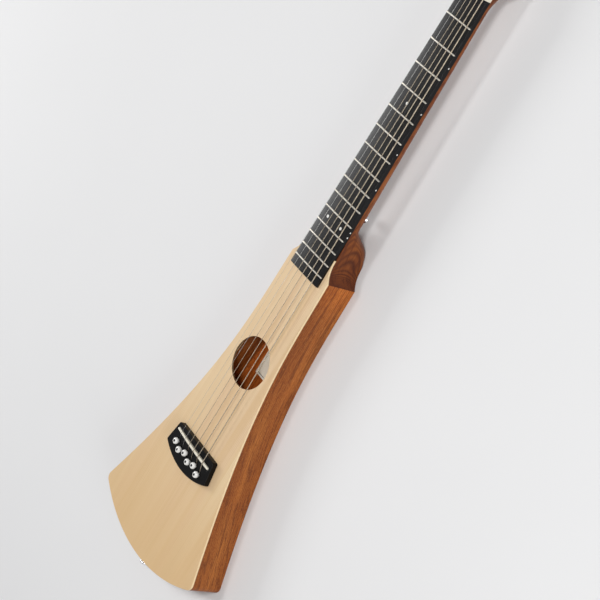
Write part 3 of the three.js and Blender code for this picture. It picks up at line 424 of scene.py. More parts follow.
def softened(points, radius, steps=4, closed=True):
    """The corners of an outline or a profile rounded: each is swapped for a quadratic curve between a
    point on its edge before and one on its edge after, at most radius away and less than half way."""
    points = np.asarray(points, float)
    curves = []
    for neighbour in (np.roll(points, 1, axis=0), np.roll(points, -1, axis=0)):
        edge = neighbour - points
        length = np.linalg.norm(edge, axis=1, keepdims=True)
        reach = np.minimum(np.reshape(radius, (-1, 1)), 0.499 * length)
        curves.append(points + edge / length * reach)
    t = np.linspace(0, 1, steps + 1)[None, :, None]
    start, end = (curve[:, None] for curve in curves)
    round_off = (1 - t)**2 * start + 2 * t * (1 - t) * points[:, None] + t**2 * end
    if closed:
        made = round_off.reshape(-1, points.shape[1])
    else:
        middle = round_off[1:-1].reshape(-1, points.shape[1])
        made = np.vstack([points[:1], middle, points[-1:]])
    gap = np.linalg.norm(made - np.roll(made, 1, axis=0), axis=1)
    return made[gap > merge_distance]


def inset(outline, distance):
    """A closed outline drawn in by one distance: each point moves along the mitre of its two edges."""
    before = outline - np.roll(outline, 1, axis=0)
    after = np.roll(outline, -1, axis=0) - outline
    before_side, after_side = (unit(np.column_stack([-edge[:, 1], edge[:, 0]])) for edge in (before, after))
    mitre = before_side + after_side
    area = np.sum(outline[:, 0] * after[:, 1] - outline[:, 1] * after[:, 0])
    return outline + np.sign(area) * 2 * distance * mitre / np.sum(mitre**2, axis=1, keepdims=True)


def plate(outline, holes, low, high, edge, under=0.0, steps=4):
    """A slab between two levels. A profile with a quarter round at its top and bottom is carried round
    the outline, and turned the other way round each hole, and flat faces fill the top and the bottom."""
    top_in, top_fall = edge_round(edge, steps)
    under_in, under_rise = edge_round(under, steps)
    drawn = [*under_in[::-1], *top_in]
    levels = [*(low + under_rise[::-1]), *(high - top_fall)]
    points, faces, tops, bottoms = [], [], [], []
    for loop, way in [(outline, 1), *((hole, -1) for hole in holes)]:
        rings = at_levels([inset(loop, way * d) for d in drawn], levels)
        start = sum(len(p) for p in points)
        ring_points, quads = skin(rings)
        faces += [[start + corner for corner in quad] for quad in quads]
        points.append(ring_points)
        bottoms.append((rings[0], start))
        tops.append((rings[-1], start + len(ring_points) - len(loop)))
    for ends in (tops, bottoms):
        index = np.concatenate([start + np.arange(len(ring)) for ring, start in ends])
        flat = tessellate_polygon([[Vector(point) for point in ring.tolist()] for ring, _ in ends])
        faces += [[int(index[corner]) for corner in face] for face in flat]
    return np.vstack(points), faces


def rectangle(x0, y0, x1, y1):
    """A box's outline."""
    return np.array([(x0, y0), (x1, y0), (x1, y1), (x0, y1)])


def paper():
    """Paper with a cream border, and inside it a ruled line round an unevenly aged field. The field is
    where both distances to the sheet's edges are above the margin, and the line is where the smaller one
    nearly equals it."""
    made, tree, shader = material("label paper", Roughness=0.85, Specular_IOR_Level=0.2)
    place = tree.place()
    middle, half = (label_low + label_high) / 2, (label_high - label_low) / 2
    parts = tree.axes(tree.add("VectorMath", {0: place, 1: tuple(middle)}, operation="SUBTRACT")[0])
    from_edge = [tree.calc("SUBTRACT", size - label_margin, tree.calc("ABSOLUTE", parts[axis]))
                 for axis, size in (("X", half.x), ("Y", half.y))]
    inside = tree.calc("MINIMUM", *from_edge)
    line = tree.calc("LESS_THAN", tree.calc("ABSOLUTE", inside), label_rule / 2)
    field = tree.mixed(tree.noise(place, 90, 4), label_ground, label_aged)
    sheet = tree.mixed(tree.calc("GREATER_THAN", inside, 0.0), label_border, field)
    tree.feed(shader["Base Color"], tree.mixed(line, sheet, label_ink))
    return made


label_outline = softened(rectangle(label_low.x, label_low.y, label_high.x, label_high.y), label_corner)
piece("paper_label", [plate(label_outline, [], label_low.z, label_high.z, edge=0.0001)], paper(),
      "label")


# Soundboard: quarter-sawn spruce 2.6 mm thick, glued on the body's rim. It has a bare round
# soundhole, and two horns run past the joint beside the end of the fretboard.
top_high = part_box("soundboard")[1]
board_low, board_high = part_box("fretboard")
nut_line, board_end = board_high.y, board_low.y
seam = 0.0003
board_nut_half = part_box("nut")[1].x
board_end_half = board_high.x
horn_ledge = 0.001
horn_start = top_high.y
flare_radius = 0.036
heel_start = joint + 0.067
hole_from_joint = 0.1347
hole_radius = 0.0311
hole_centre = joint - hole_from_joint
top_edge_radius = 0.0004
horn_tip_radius = 0.0008
spruce_pale = (0.74, 0.53, 0.31, 1)
spruce_cream = (0.81, 0.63, 0.4, 1)
spruce_pink = (0.75, 0.53, 0.335, 1)
spruce_golden = (0.69, 0.47, 0.24, 1)
painted_edge_highlight = (0.93, 0.74, 0.45, 1)
spruce_line = (0.5, 0.31, 0.13, 1)
spruce_silk = (0.9, 0.87, 0.8, 1)
hole_edge_stain_and_shade = (0.13, 0.06, 0.025, 1)


def spruce(name, ring_width, line, gloss):
    """Quarter-sawn spruce: cream to pinkish bands that turn more golden towards the tail, thin darker
    late-wood lines of uneven width and strength along Y, and faint silky fibres. Upright edges are painted
    paler, a painted highlight along them, apart from the soundhole's, which are painted dark brown: partly
    the end grain's lacquer, partly painted shade inside the hole."""
    made, tree, shader = material(name, Specular_IOR_Level=0.3)
    place = tree.place()
    grain = tree.grain(place, ring_width, sway=0.005, line=3.0, pore_width=0.0008)
    patch = tree.patches(place, (1, 0.25, 0), 22, 2, 0.4, 0.7)
    line_strength = tree.calc("MULTIPLY_ADD", patch, 0.75 * line, 0.35 * line)
    flat_place = tree.add("VectorMath", {0: place, 1: (1, 1, 0)}, operation="MULTIPLY")[0]
    from_hole = tree.add("VectorMath", {0: flat_place, 1: (0, hole_centre, 0)},
                         operation="DISTANCE")["Value"]
    facing = tree.axes(tree.add("NewGeometry")["True Normal"])
    edge = tree.calc("LESS_THAN", tree.calc("ABSOLUTE", facing["Z"]), 0.5)
    at_hole = tree.calc("LESS_THAN", from_hole, hole_radius + top_edge_radius)
    tree.feed(shader["Base Color"], tree.layered(
        tree.mixed(grain["Bands"], spruce_pale, spruce_cream),
        (tree.patches(place, (1, 0.06, 0), 30, 2, 0.42, 0.64), 0.65, spruce_pink),
        (tree.patches(place, (1, 0.03, 0), 75, 1, 0.5, 0.7), 0.45, spruce_golden),
        (tree.step(tree.axes(place)["Y"], -0.2, -0.46), 0.8, spruce_golden),
        (grain["Rings"], line_strength, spruce_line),
        (grain["Fibres"], 0.3, spruce_silk, "MULTIPLY"),
        # Painted highlight: upright edges are made paler, as if they catch the light.
        (edge, 0.7, painted_edge_highlight),
        # The soundhole's edge is dark brown: partly the end grain's lacquer, partly painted shade inside
        # the hole.
        (tree.calc("MULTIPLY", edge, at_hole), 0.9, hole_edge_stain_and_shade)))
    tree.feed(shader["Roughness"], tree.calc("MULTIPLY_ADD", grain["Fibres"], 0.12, gloss - 0.06))
    tree.bump(shader, tree.calc("ADD", grain["Rings"], grain["Fibres"]), 0.15, 0.00005)
    return made


def lerp(start, end, share):
    """The value a share of the way from start to end."""
    return start + (end - start) * share


def smooth(value, start, end):
    """0 at start and before it, 1 at end and past it, with the soft step 3t² - 2t³ between them."""
    t = np.clip((value - start) / (end - start), 0, 1)
    return t * t * (3 - 2 * t)


def board_half(y):
    """Half the fretboard's width, which grows evenly from the nut to the board's end."""
    return lerp(board_nut_half, board_end_half, (nut_line - y) / (nut_line - board_end))


def neck_half(y):
    """Half the width of the neck's top and of the horns: the fretboard's half width, a narrow ledge that
    opens beside the heel, and a round flare out to the shoulder at the joint."""
    rise = shoulder_half - board_half(joint) - horn_ledge
    flare_length = sqrt(flare_radius**2 - (flare_radius - rise)**2)
    run = np.clip(joint + flare_length - y, 0, flare_length)
    ledge = horn_ledge * smooth(y, heel_start, horn_start)
    return board_half(y) + ledge + flare_radius - np.sqrt(flare_radius**2 - run**2)


def circle(x, y, radius, count):
    """A round outline."""
    return arc((x, y), radius, 0, 2 * pi, count + 1)[:-1]


horn_y = np.linspace(horn_start, joint, 24, endpoint=False)
horn = np.column_stack([neck_half(horn_y), horn_y])
notch_x = board_half(horn_start) + seam / 2
notch = np.array([(-notch_x, horn_start), (-board_end_half - seam / 2, board_end - seam / 2),
                  (board_end_half + seam / 2, board_end - seam / 2), (notch_x, horn_start)])
top_outline = np.vstack([both_sides(np.vstack([horn, body_side()])), notch])
corner_radii = np.zeros(len(top_outline))
corner_radii[[0, -1, -4, -5]] = horn_tip_radius
top_outline = softened(top_outline, corner_radii)
soundhole = circle(0, hole_centre, hole_radius, 128)
piece("spruce_soundboard",
      [plate(top_outline, [soundhole], rim_level, top_high.z, top_edge_radius, steps=3)],
      spruce("soundboard spruce", ring_width=0.0019, line=0.38, gloss=0.45), "soundboard")


# Braces: a maple plate under the bridge and four bars of spruce, glued under the soundboard. The
# bars are shaved to a rounded ridge, and they run out low at their ends and beside the soundhole.
leg_width = 0.0049
leg_end_skew = 0.0015
brace_end_share = 0.3
brace_side_share = 0.4
brace_taper = 0.035
brace_dip_half = 0.03
brace_dip_share = 0.33
cross_taper = 0.014
maple_dark = (0.6, 0.43, 0.24, 1)
maple_light = (0.68, 0.5, 0.3, 1)
maple_fleck = (0.4, 0.24, 0.12, 1)


def closed(rings):
    """The rings with one more at each end that is their end ring drawn to its middle point."""
    ends = [np.broadcast_to(rings[k].mean(axis=0), rings[k].shape)[None] for k in (0, -1)]
    return np.concatenate([ends[0], rings, ends[1]])


def maple():
    """Plain maple for the plate that the pins hold against: pale, with fine fibres and small flecks."""
    made, tree, shader = material("maple", Roughness=0.6)
    grain = tree.grain(tree.place(), ring_width=0.004, sway=0.01, line=1.5, pore_width=0.0005)
    tree.feed(shader["Base Color"], tree.layered(
        tree.mixed(grain["Bands"], maple_dark, maple_light), (grain["Pores"], 0.4, maple_fleck)))
    return made


def brace_rings(start, end, share_at, levels, count=60):
    """Sections along a bar between the two corners of its start and of its end: flat against the
    soundboard, with straight sides and a half-oval ridge, whose height is a share of the bar's that
    changes along it."""
    t = np.linspace(0, 1, count)[:, None]
    left, right = (lerp(np.array(start[k]), np.array(end[k]), t) for k in (0, 1))
    share = share_at((left + right) / 2)[:, None]
    angle = np.linspace(0, pi, 15)
    ridge = share * (brace_side_share + (1 - brace_side_share) * np.sin(angle))
    drop = np.hstack([np.zeros_like(share), ridge, np.zeros_like(share)])
    across = np.concatenate([[1], np.cos(angle), [-1]])[None, :, None]
    flat = (left + right)[:, None] / 2 + across * (right - left)[:, None] / 2
    return raised(flat, lerp(levels[1], levels[0], drop))


def leg_share(points):
    """A long bar's height: it runs out at both ends and dips beside the soundhole."""
    from_end = np.minimum(leg_high.y - points[:, 1], points[:, 1] - leg_low.y)
    ends = lerp(brace_end_share, 1, smooth(from_end, 0, brace_taper))
    beside = smooth(np.abs(points[:, 1] - hole_centre), brace_dip_half, brace_dip_half + brace_taper)
    return np.minimum(ends, lerp(brace_dip_share, 1, beside))


def cross_share(points):
    """A cross bar's height: it runs out at both ends."""
    from_end = points[:, 0].max() - np.abs(points[:, 0])
    return lerp(brace_end_share, 1, smooth(from_end, 0, cross_taper))


brace_wood = spruce("brace spruce", ring_width=0.0016, line=0.4, gloss=0.7)
leg_low, leg_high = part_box("brace_bass")
leg_head = [(leg_low.x, leg_high.y), (leg_low.x + leg_width, leg_high.y)]
leg_tail = [(leg_high.x - leg_width, leg_low.y), (leg_high.x, leg_low.y + leg_end_skew)]
for name, side in (("brace_bass", 1), ("brace_treble", -1)):
    start, end = ([(side * x, y) for x, y in corners] for corners in (leg_head, leg_tail))
    rings = brace_rings(start, end, leg_share, (leg_low.z, leg_high.z))
    piece(f"spruce_{name}", [skin(closed(rings))], brace_wood, name)
for name in ("brace_upper", "brace_cross"):
    low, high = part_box(name)
    rings = brace_rings([(low.x, low.y), (low.x, high.y)], [(high.x, low.y), (high.x, high.y)],
                        cross_share, (low.z, high.z))
    piece(f"spruce_{name}", [skin(closed(rings))], brace_wood, name)
bridge_plate = frame["nodes"]["bridge_plate"]
maple_wood = maple()
for place in bridge_plate.material_slots:
    place.material = maple_wood


# Neck: one piece of mahogany with its heel, let into the body at the joint. Its back is a flat oval
# that swells into the square heel, and past the nut a rounded lump strengthens the tilted head.
nut_low, nut_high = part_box("nut")
nut_thickness = nut_high.y - nut_low.y
neck_depth_at_nut = 0.0115
neck_depth_at_heel = 0.02
heel_end = joint + 0.041
heel_corner_start = joint + 0.0668
heel_corner_end = joint + 0.0203
neck_flank_share = 0.1
volute_past_nut = 0.007
volute_depth = 0.007
volute_spread = 0.0105
head_root_length = 0.02
head_thickness = 0.0135
head_length = 0.118
head_wide_half = 0.028
head_tip_half = 0.024
head_flare_length = 0.024
head_corner = 0.006
head_edge_radius = 0.0012
head_bore_radius = 0.0049
hinges = {hinge["name"]: hinge for hinge in frame["joints"]}
head_up = np.array(hinges["post_turn_1"]["axis"])
head_along = np.array([0, head_up[2], -head_up[1]])
head_origin = np.array([0, nut_line + nut_thickness, rim_level])
posts = [np.array(hinges[f"post_turn_{k}"]["pos_m"]) for k in range(1, 7)]


def spread(x, y, z):
    """Points from coordinates that are each given once, by row, by column or for every point."""
    return np.stack(np.broadcast_arrays(x, y, z), axis=-1)


def in_head(points, origin=head_origin):
    """Points of the tilted head's own frame, X across, Y along it and Z out of its face, put in place."""
    return origin + points @ np.array([[1, 0, 0], head_along, head_up])


def neck_depth(y):
    """The neck's depth below the rim level: an even growth from nut to heel, a bell-shaped lump past the
    nut, and a soft step to the full depth of the body along the heel."""
    share = np.maximum(0, (nut_line - y) / (nut_line - heel_start))
    even = lerp(neck_depth_at_nut, neck_depth_at_heel, share)
    lump = volute_depth * np.exp(-(((nut_line - y + volute_past_nut) / volute_spread)**2))
    return lerp(even + lump, rim_level, smooth(y, heel_start, heel_end))


def section(place, half, depth, square, corner, upper):
    """Cross-sections at places along Y, flat on top at level zero: a quarter round at each upper edge,
    straight flanks, and lower corners that are quarter ovals over nearly the whole half width and depth,
    or a plain round of the corner's size where the section is square."""
    wide = lerp(half * (1 - neck_flank_share / 2), corner, square)
    high = lerp(depth * (1 - neck_flank_share), corner, square)
    lower_in, lower_rise = (column[:, None] for column in edge_round(1, 20))
    upper_in, upper_fall = (column[::-1, None] for column in edge_round(1, 5))
    x = half - np.vstack([upper * upper_in, wide * lower_in])
    z = np.vstack([-upper * upper_fall, high * lower_rise - depth])
    right = spread(x, place, z)
    return np.concatenate([right, right[::-1] * (-1, 1, 1)]).transpose(1, 0, 2)


def head_root_sections(place):
    """The head's first stretch, in its own frame: it follows the flare, while the lump under it fades
    away and the neck's oval turns into the slab's square section with eased edges."""
    fade = smooth(place, 0, head_root_length)
    lump = np.exp(-(((place + nut_thickness - volute_past_nut) / volute_spread)**2)) * (1 - fade)
    depth = head_thickness + (neck_depth_at_nut + volute_depth - head_thickness) * lump
    half = np.interp(place, flare[:, 1], flare[:, 0])
    return section(place, half, depth, fade, head_edge_radius, head_edge_radius * fade)


def head_outline():
    """The head's face past its root: the rest of the flare, a straight taper and a rounded tip."""
    rest = flare[flare[:, 1] > head_root_length]
    start = np.interp(head_root_length, flare[:, 1], flare[:, 0])
    root = [(start - 0.5 * seam, head_root_length - head_edge_radius), (start, head_root_length)]
    tip = np.array([(head_wide_half, head_flare_length), (head_tip_half, head_length), (0, head_length)])
    return both_sides(np.vstack([root, rest[:-1:3], softened(tip, head_corner, 8, closed=False)]))


flare = cubic((board_nut_half, 0), (board_nut_half, head_flare_length / 2),
              (head_wide_half, head_flare_length / 2), (head_wide_half, head_flare_length), 60)
neck_y = np.concatenate([np.linspace(joint, heel_start, 100, endpoint=False),
                         np.linspace(heel_start, nut_line, 90)])
squareness = smooth(neck_y, heel_corner_start, heel_corner_end)
along_neck = section(neck_y, neck_half(neck_y), neck_depth(neck_y), squareness, back_edge_radius,
                     np.zeros_like(neck_y)) + (0, 0, rim_level)
head_root = in_head(head_root_sections(np.linspace(0, head_root_length, 30)))
head_bores = [circle(post[0], (post - head_origin) @ head_along, head_bore_radius, 40) for post in posts]
head_points, head_faces = plate(head_outline(), head_bores, -head_thickness, 0, head_edge_radius,
                                head_edge_radius)
# The neck's painted joint light is painted shade on the heel.
neck_wood = mahogany("neck mahogany", pith=(0.13, 0.022), ring_width=0.001, ring_strength=0.85,
                     dash_strength=0.2, stain=(0.84, 0.77, 0.74, 1), painted_joint_light=(0.56, 0.46, 0.38, 1),
                     painted_joint_reach=0.09, painted_up_light=(1, 1, 1, 1))
piece("mahogany_neck", [skin(folded(np.concatenate([along_neck, head_root]))),
                        (in_head(head_points), head_faces)], neck_wood, "neck")


# Fretboard: black composite, glued on the neck and reaching over the end of the body. Its top is
# arched, its long edges are eased, and white dots are let into its face and its bass edge.
board_edge_level = rim_level + 0.0055
board_arch_radius = 0.406
board_edge_radius = 0.0005
board_end_radius = 0.0004
board_black = (0.0045, 0.0043, 0.0045, 1)
board_grey = (0.011, 0.0105, 0.011, 1)
dot_radius = 0.0019
side_dot_radius = 0.001
dot_proud = 0.00004
scale_length = 0.6096
double_dot_spread = 0.0133
side_dot_spread = 0.0033


def arch(x, half):
    """How far the board's arch stands above its edges."""
    return np.sqrt(board_arch_radius**2 - x**2) - sqrt(board_arch_radius**2 - half**2)


def board_rings(y, drawn_in):
    """Cross-sections of the board: flat below, straight sides, eased upper edges and an arched top, all
    drawn in by a little where the board's end is eased."""
    rings = []
    edge_in, edge_fall = edge_round(board_edge_radius, 5)
    for place, drawn in zip(y, drawn_in):
        half = board_half(place) - drawn
        across = np.linspace(half - board_edge_radius, 0, 12)[1:]
        x = np.concatenate([[half], half - edge_in, across])
        z = np.concatenate([[rim_level], board_edge_level - edge_fall,
                            board_edge_level + arch(across, half)])
        z[1:] -= drawn
        rings.append(spread(np.append(x, -x[-2::-1]), place, np.append(z, z[-2::-1])))
    return np.stack(rings)


def composite(name, dark, light, gloss, gleam):
    """Black pressed paper and resin: near black, faintly streaked along Y, with a fine sanded surface."""
    made, tree, shader = material(name, Specular_IOR_Level=gleam)
    place = tree.place()
    streak = tree.noise(place, 700, 3, 0.65, (1, 0.05, 1))
    shade = tree.calc("MULTIPLY", streak, tree.patches(place, (1, 1, 1), 40, 3, 0.3, 0.7))
    tree.feed(shader["Base Color"], tree.mixed(shade, dark, light))
    tree.feed(shader["Roughness"], tree.calc("MULTIPLY_ADD", streak, 0.16, gloss - 0.08))
    tree.bump(shader, streak, 0.2, 0.00004)
    return made


def plain(name, colour, mottle, gloss, scale):
    """A smooth plastic or bone finish, with a soft cloudy tint and slightly uneven gloss."""
    made, tree, shader = material(name, Specular_IOR_Level=0.5)
    cloud = tree.noise(tree.place(), scale, 4, 0.6)
    tree.feed(shader["Base Color"], tree.mixed(tree.step(cloud, 0.35, 0.75), colour, mottle))
    tree.feed(shader["Roughness"], tree.calc("MULTIPLY_ADD", cloud, 0.15, gloss - 0.05))
    return made


def turned(profile, place, up, count=48, across=(1, 0, 0)):
    """A profile of (radius, height) points carried round an axis through a place."""
    profile = np.asarray(profile, float)
    up = unit(np.asarray(up, float))
    first = unit(np.cross(up, across))
    angle = 2 * pi * np.arange(count)[None, :, None] / count
    spoke = np.cos(angle) * first + np.sin(angle) * np.cross(up, first)
    return skin(np.asarray(place, float) + profile[:, None, :1] * spoke + profile[:, None, 1:] * up)


def fret_y(number):
    """A fret's place: each fret leaves the twelfth root of a half of the string length before it."""
    return nut_line - scale_length * (1 - 2**(-number / 12))


def inlay(radius, place, up):
    """A round dot let in flush, a hair proud and slightly domed."""
    profile = [(0, -radius), (radius, -radius), (radius, 0), (0.8 * radius, dot_proud),
               (0, 1.5 * dot_proud)]
    return turned(profile, place, up, 32, (0, 1, 0))


board_y = np.array([nut_line, board_end + board_end_radius, board_end + board_end_radius / 3, board_end])
board_rows = board_rings(board_y, np.array([0, 0, 0.3, 1]) * board_end_radius)
piece("black_fretboard", [skin(folded(board_rows))],
      composite("fretboard composite", board_black, board_grey, gloss=0.25, gleam=0.18),
      "fretboard")
dots = []
for number, offsets in ((5, [0]), (12, [-double_dot_spread, double_dot_spread])):
    y = (fret_y(number - 1) + fret_y(number)) / 2
    for x in offsets:
        level = board_edge_level + arch(x, board_half(y))
        dots.append(inlay(dot_radius, (x, y, level), (x / board_arch_radius, 0, 1)))
for number, offsets in ((3, [0]), (5, [0]), (7, [0]), (9, [0]), (12, [-side_dot_spread, side_dot_spread])):
    for offset in offsets:
        y = (fret_y(number - 1) + fret_y(number)) / 2 + offset
        level = (rim_level + board_edge_level) / 2
        dots.append(inlay(side_dot_radius, (board_half(y), y, level), (1, 0, 0)))
dot_white = plain("dot white", (0.8, 0.79, 0.75, 1), (0.72, 0.7, 0.66, 1), gloss=0.3, scale=500)
piece("fretboard_dots", dots, dot_white)


# Frets: nickel-silver wire with a low round crown, pressed by its tang into a slot across the board.
# The ends are filed down at the board's edges and polished.
fret_width = 0.002
fret_height = 0.0009
fret_tang_width = 0.0006
fret_tang_depth = 0.0016
fret_seat = 0.0001
fret_end_length = 0.0011
fret_end_width_share = 0.35
worn_metal_shade = 0.82


def metal(name, colour, gloss, scratch_scale, scratches, along=(1, 1, 1)):
    """Polished metal: its tint and roughness shift a little in fine rubbed streaks."""
    made, tree, shader = material(name, Metallic=1.0)
    place = tree.place()
    rubbed = tree.noise(place, scratch_scale, 3, 0.6, along)
    worn = tree.noise(place, scratch_scale / 12, 2)
    darker = tuple(worn_metal_shade * value for value in colour[:3]) + (1,)
    tree.feed(shader["Base Color"], tree.layered(colour, (worn, scratches, darker)))
    tree.feed(shader["Roughness"], tree.calc("MULTIPLY_ADD", rubbed, 0.3 * scratches, gloss))
    return made


def rolled_ends(half, reach, bends, middle):
    """Stations along a bar, close together where its ends roll down in a quarter round of the given reach,
    and the share of its full size that the bar has at each."""
    roll = np.linspace(0, pi / 2, bends)
    ends = half - reach * (1 - np.sin(roll))
    x = np.concatenate([-ends[::-1], np.linspace(-ends[0], ends[0], middle)[1:-1], ends])
    return x[:, None], np.concatenate([np.cos(roll)[::-1], np.ones(middle - 2), np.cos(roll)])[:, None]


def fret_rings(y):
    """Sections of one fret from end to end: a half-oval crown over a T-shaped tang, which follows the
    board's arch and rolls down to nothing at both ends."""
    half = board_half(y)
    x, fall = rolled_ends(half, fret_end_length, 7, 13)
    base = board_edge_level + arch(np.abs(x), half) + fret_seat
    angle = np.linspace(0, pi, 13)
    crown = fret_width / 2 * np.cos(angle) * lerp(fret_end_width_share, 1, fall)
    tang_y = np.array([-0.5, -0.5, 0.5, 0.5]) * fret_tang_width
    tang_z = np.array([0, -1, -1, 0]) * fret_tang_depth
    across = np.hstack([crown, np.tile(tang_y, (len(x), 1))])
    return spread(x, y + across, np.hstack([fret_height * np.sin(angle) * fall + base, tang_z + base]))


nickel = metal("fret nickel", (0.68, 0.64, 0.56, 1), gloss=0.3, scratch_scale=900, scratches=0.4,
               along=(0.1, 1, 1))
for number in range(1, 16):
    piece(f"fret_wire_{number:02d}", [skin(closed(fret_rings(fret_y(number))))], nickel,
          f"fret_{number:02d}", crisp=50, flats=False)


# Strings: two plain steel ones and four wound with bronze. Each rises from its ball end in the
# groove of its pin, bends over the saddle and the nut and winds round its post.
bridge_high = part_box("bridge")[1]
top_level, bridge_top = top_high.z, bridge_high.z
string_diameters = np.array([0.25, 0.36, 0.58, 0.76, 0.99, 1.19]) / 1000
nut_spread = 0.036
saddle_spread = 0.055
string_over_frets = 0.002
string_level_at_nut = board_edge_level + fret_height + fret_seat + string_over_frets
string_seat = 0.0001
string_bend = 0.0008
saddle_bend = 0.0025
nut_bend = 0.002
ball_radius = 0.002
ball_length = 0.003
ball_edge = 0.0004
saddle_setback = 0.0051
saddle_centre = nut_line - scale_length - saddle_setback
saddle_slope = 0.048
saddle_height = 0.0102
pin_pitch = 0.0112
pin_from_saddle = 0.0122
pin_stagger = 0.00395
pin_shaft_radius = 0.0026
plate_thickness = 0.0025
post_waist_radius = 0.0027
winding_turns = 2
winding_points = 97
winding_gap = 0.00045
winding_start = 0.0065
winding_pitch = 0.0004
bronze_bright = (0.48, 0.41, 0.31, 1)
bronze_pale = (0.45, 0.4, 0.32, 1)
bronze_groove_shade = (0.26, 0.2, 0.14, 1)
gear_below_head = 0.01825


def saddle_line(x):
    """The saddle slants away from the nut towards the bass side."""
    return saddle_centre - saddle_slope * x


def saddle_level(x):
    """The saddle's top follows the arch of the board."""
    return top_level + saddle_height + np.sqrt(board_arch_radius**2 - x**2) - board_arch_radius


def string_path(k):
    """The centre line of one string, the direction that its section is hung from at each point, and its
    ball's place: a groove up the pin, a straight rise to the saddle, the straight speaking length, and a
    helix round the post."""
    radius = string_diameters[k] / 2
    share = k / (len(string_diameters) - 1)
    pin_x = pin_pitch * (k - (len(string_diameters) - 1) / 2)
    pin_y = saddle_line(pin_x) - pin_from_saddle - (k % 2) * pin_stagger
    saddle_x = lerp(-saddle_spread, saddle_spread, share) / 2
    over_saddle = (saddle_x, saddle_line(saddle_x), saddle_level(saddle_x) + radius + string_seat)
    over_nut = np.array([lerp(-nut_spread, nut_spread, share) / 2, nut_line, string_level_at_nut])
    ball = (pin_x, pin_y + pin_shaft_radius + seam + ball_radius,
            rim_level - plate_thickness - seam - ball_radius)
    groove = pin_y + pin_shaft_radius - radius
    side = np.sign(posts[k][0])
    turn = np.linspace(0, winding_turns, winding_points)
    reach = post_waist_radius + seam + radius
    level = gear_below_head + winding_start + turn * (2 * radius + winding_gap)
    winding = in_head(spread(-side * reach * np.cos(2 * pi * turn), reach * np.sin(2 * pi * turn), level),
                      posts[k])
    corners = np.array([ball, (pin_x, groove, ball[2]),
                        (pin_x, groove, bridge_top - radius - 2 * string_bend), over_saddle, over_nut,
                        winding[0]])
    bends = np.array([0, string_bend, 1.5 * string_bend, saddle_bend, nut_bend, 0])
    route = softened(corners, bends, 8, closed=False)
    last = np.linspace(over_nut, winding[0], 12)[2:-1]
    route = np.vstack([route[:-1], last, winding])
    start = len(route) - winding_points
    hang = smooth(np.arange(len(route)), start - 8, start - 1)[:, None]
    return route, (1 - hang) * (1, 0, 0) + hang * head_up, ball


def tube(route, hang, radius, count=14):
    """A round section carried along a route. At each point it is spanned by the hanging direction and by
    the one square to that and to the route."""
    along = unit(np.gradient(route, axis=0))
    beside = unit(np.cross(along, hang))
    over = np.cross(beside, along)
    angle = 2 * pi * np.arange(count)[None, :, None] / count
    spoke = np.cos(angle) * beside[:, None] + np.sin(angle) * over[:, None]
    return closed(route[:, None] + radius * spoke)


def wound():
    """Bronze winding: bands across the string, as a sine of the place along it, bump the surface, and
    painted shade darkens the gaps between the turns."""
    made, tree, shader = material("bronze winding", Metallic=1.0, Roughness=0.42)
    place = tree.place()
    wave = tree.calc("SINE", tree.calc("MULTIPLY", tree.axes(place)["Y"], 2 * pi / winding_pitch))
    rise = tree.calc("MULTIPLY_ADD", wave, 0.5, 0.5)
    bright = tree.mixed(tree.noise(place, 120, 2), bronze_bright, bronze_pale)
    # Painted shade in the grooves between the winding's turns.
    tree.feed(shader["Base Color"], tree.mixed(rise, bronze_groove_shade, bright))
    tree.bump(shader, rise, 0.3, 0.00006)
    return made


steel = metal("string steel", (0.42, 0.41, 0.39, 1), gloss=0.36, scratch_scale=1500, scratches=0.4,
              along=(1, 0.05, 1))
bronze = wound()
paths = [string_path(k) for k in range(6)]
rod = softened([(0, -ball_length / 2), (ball_radius, -ball_length / 2), (ball_radius, ball_length / 2),
                (0, ball_length / 2)], ball_edge, 3, closed=False)
for k, (route, hang, ball) in enumerate(paths):
    metal_kind, slot = (steel, "plain_strings") if k < 2 else (bronze, "wound_strings")
    parts = [skin(tube(route, hang, string_diameters[k] / 2)), turned(rod, ball, (1, 0, 0), 24, (0, 0, 1))]
    piece(f"wire_{k + 1}", parts, metal_kind, f"string_{k + 1}", crisp=60, flats=False)


# Nut: white composite, glued at the end of the board, with a slot filed for each string. It falls
# away towards the head, and its edges are eased.
nut_back_drop = 0.0014
nut_back_start = 0.25
nut_back_curve = 1.6
nut_front_share = 0.12
nut_edge_radius = 0.0005
nut_top = nut_high.z


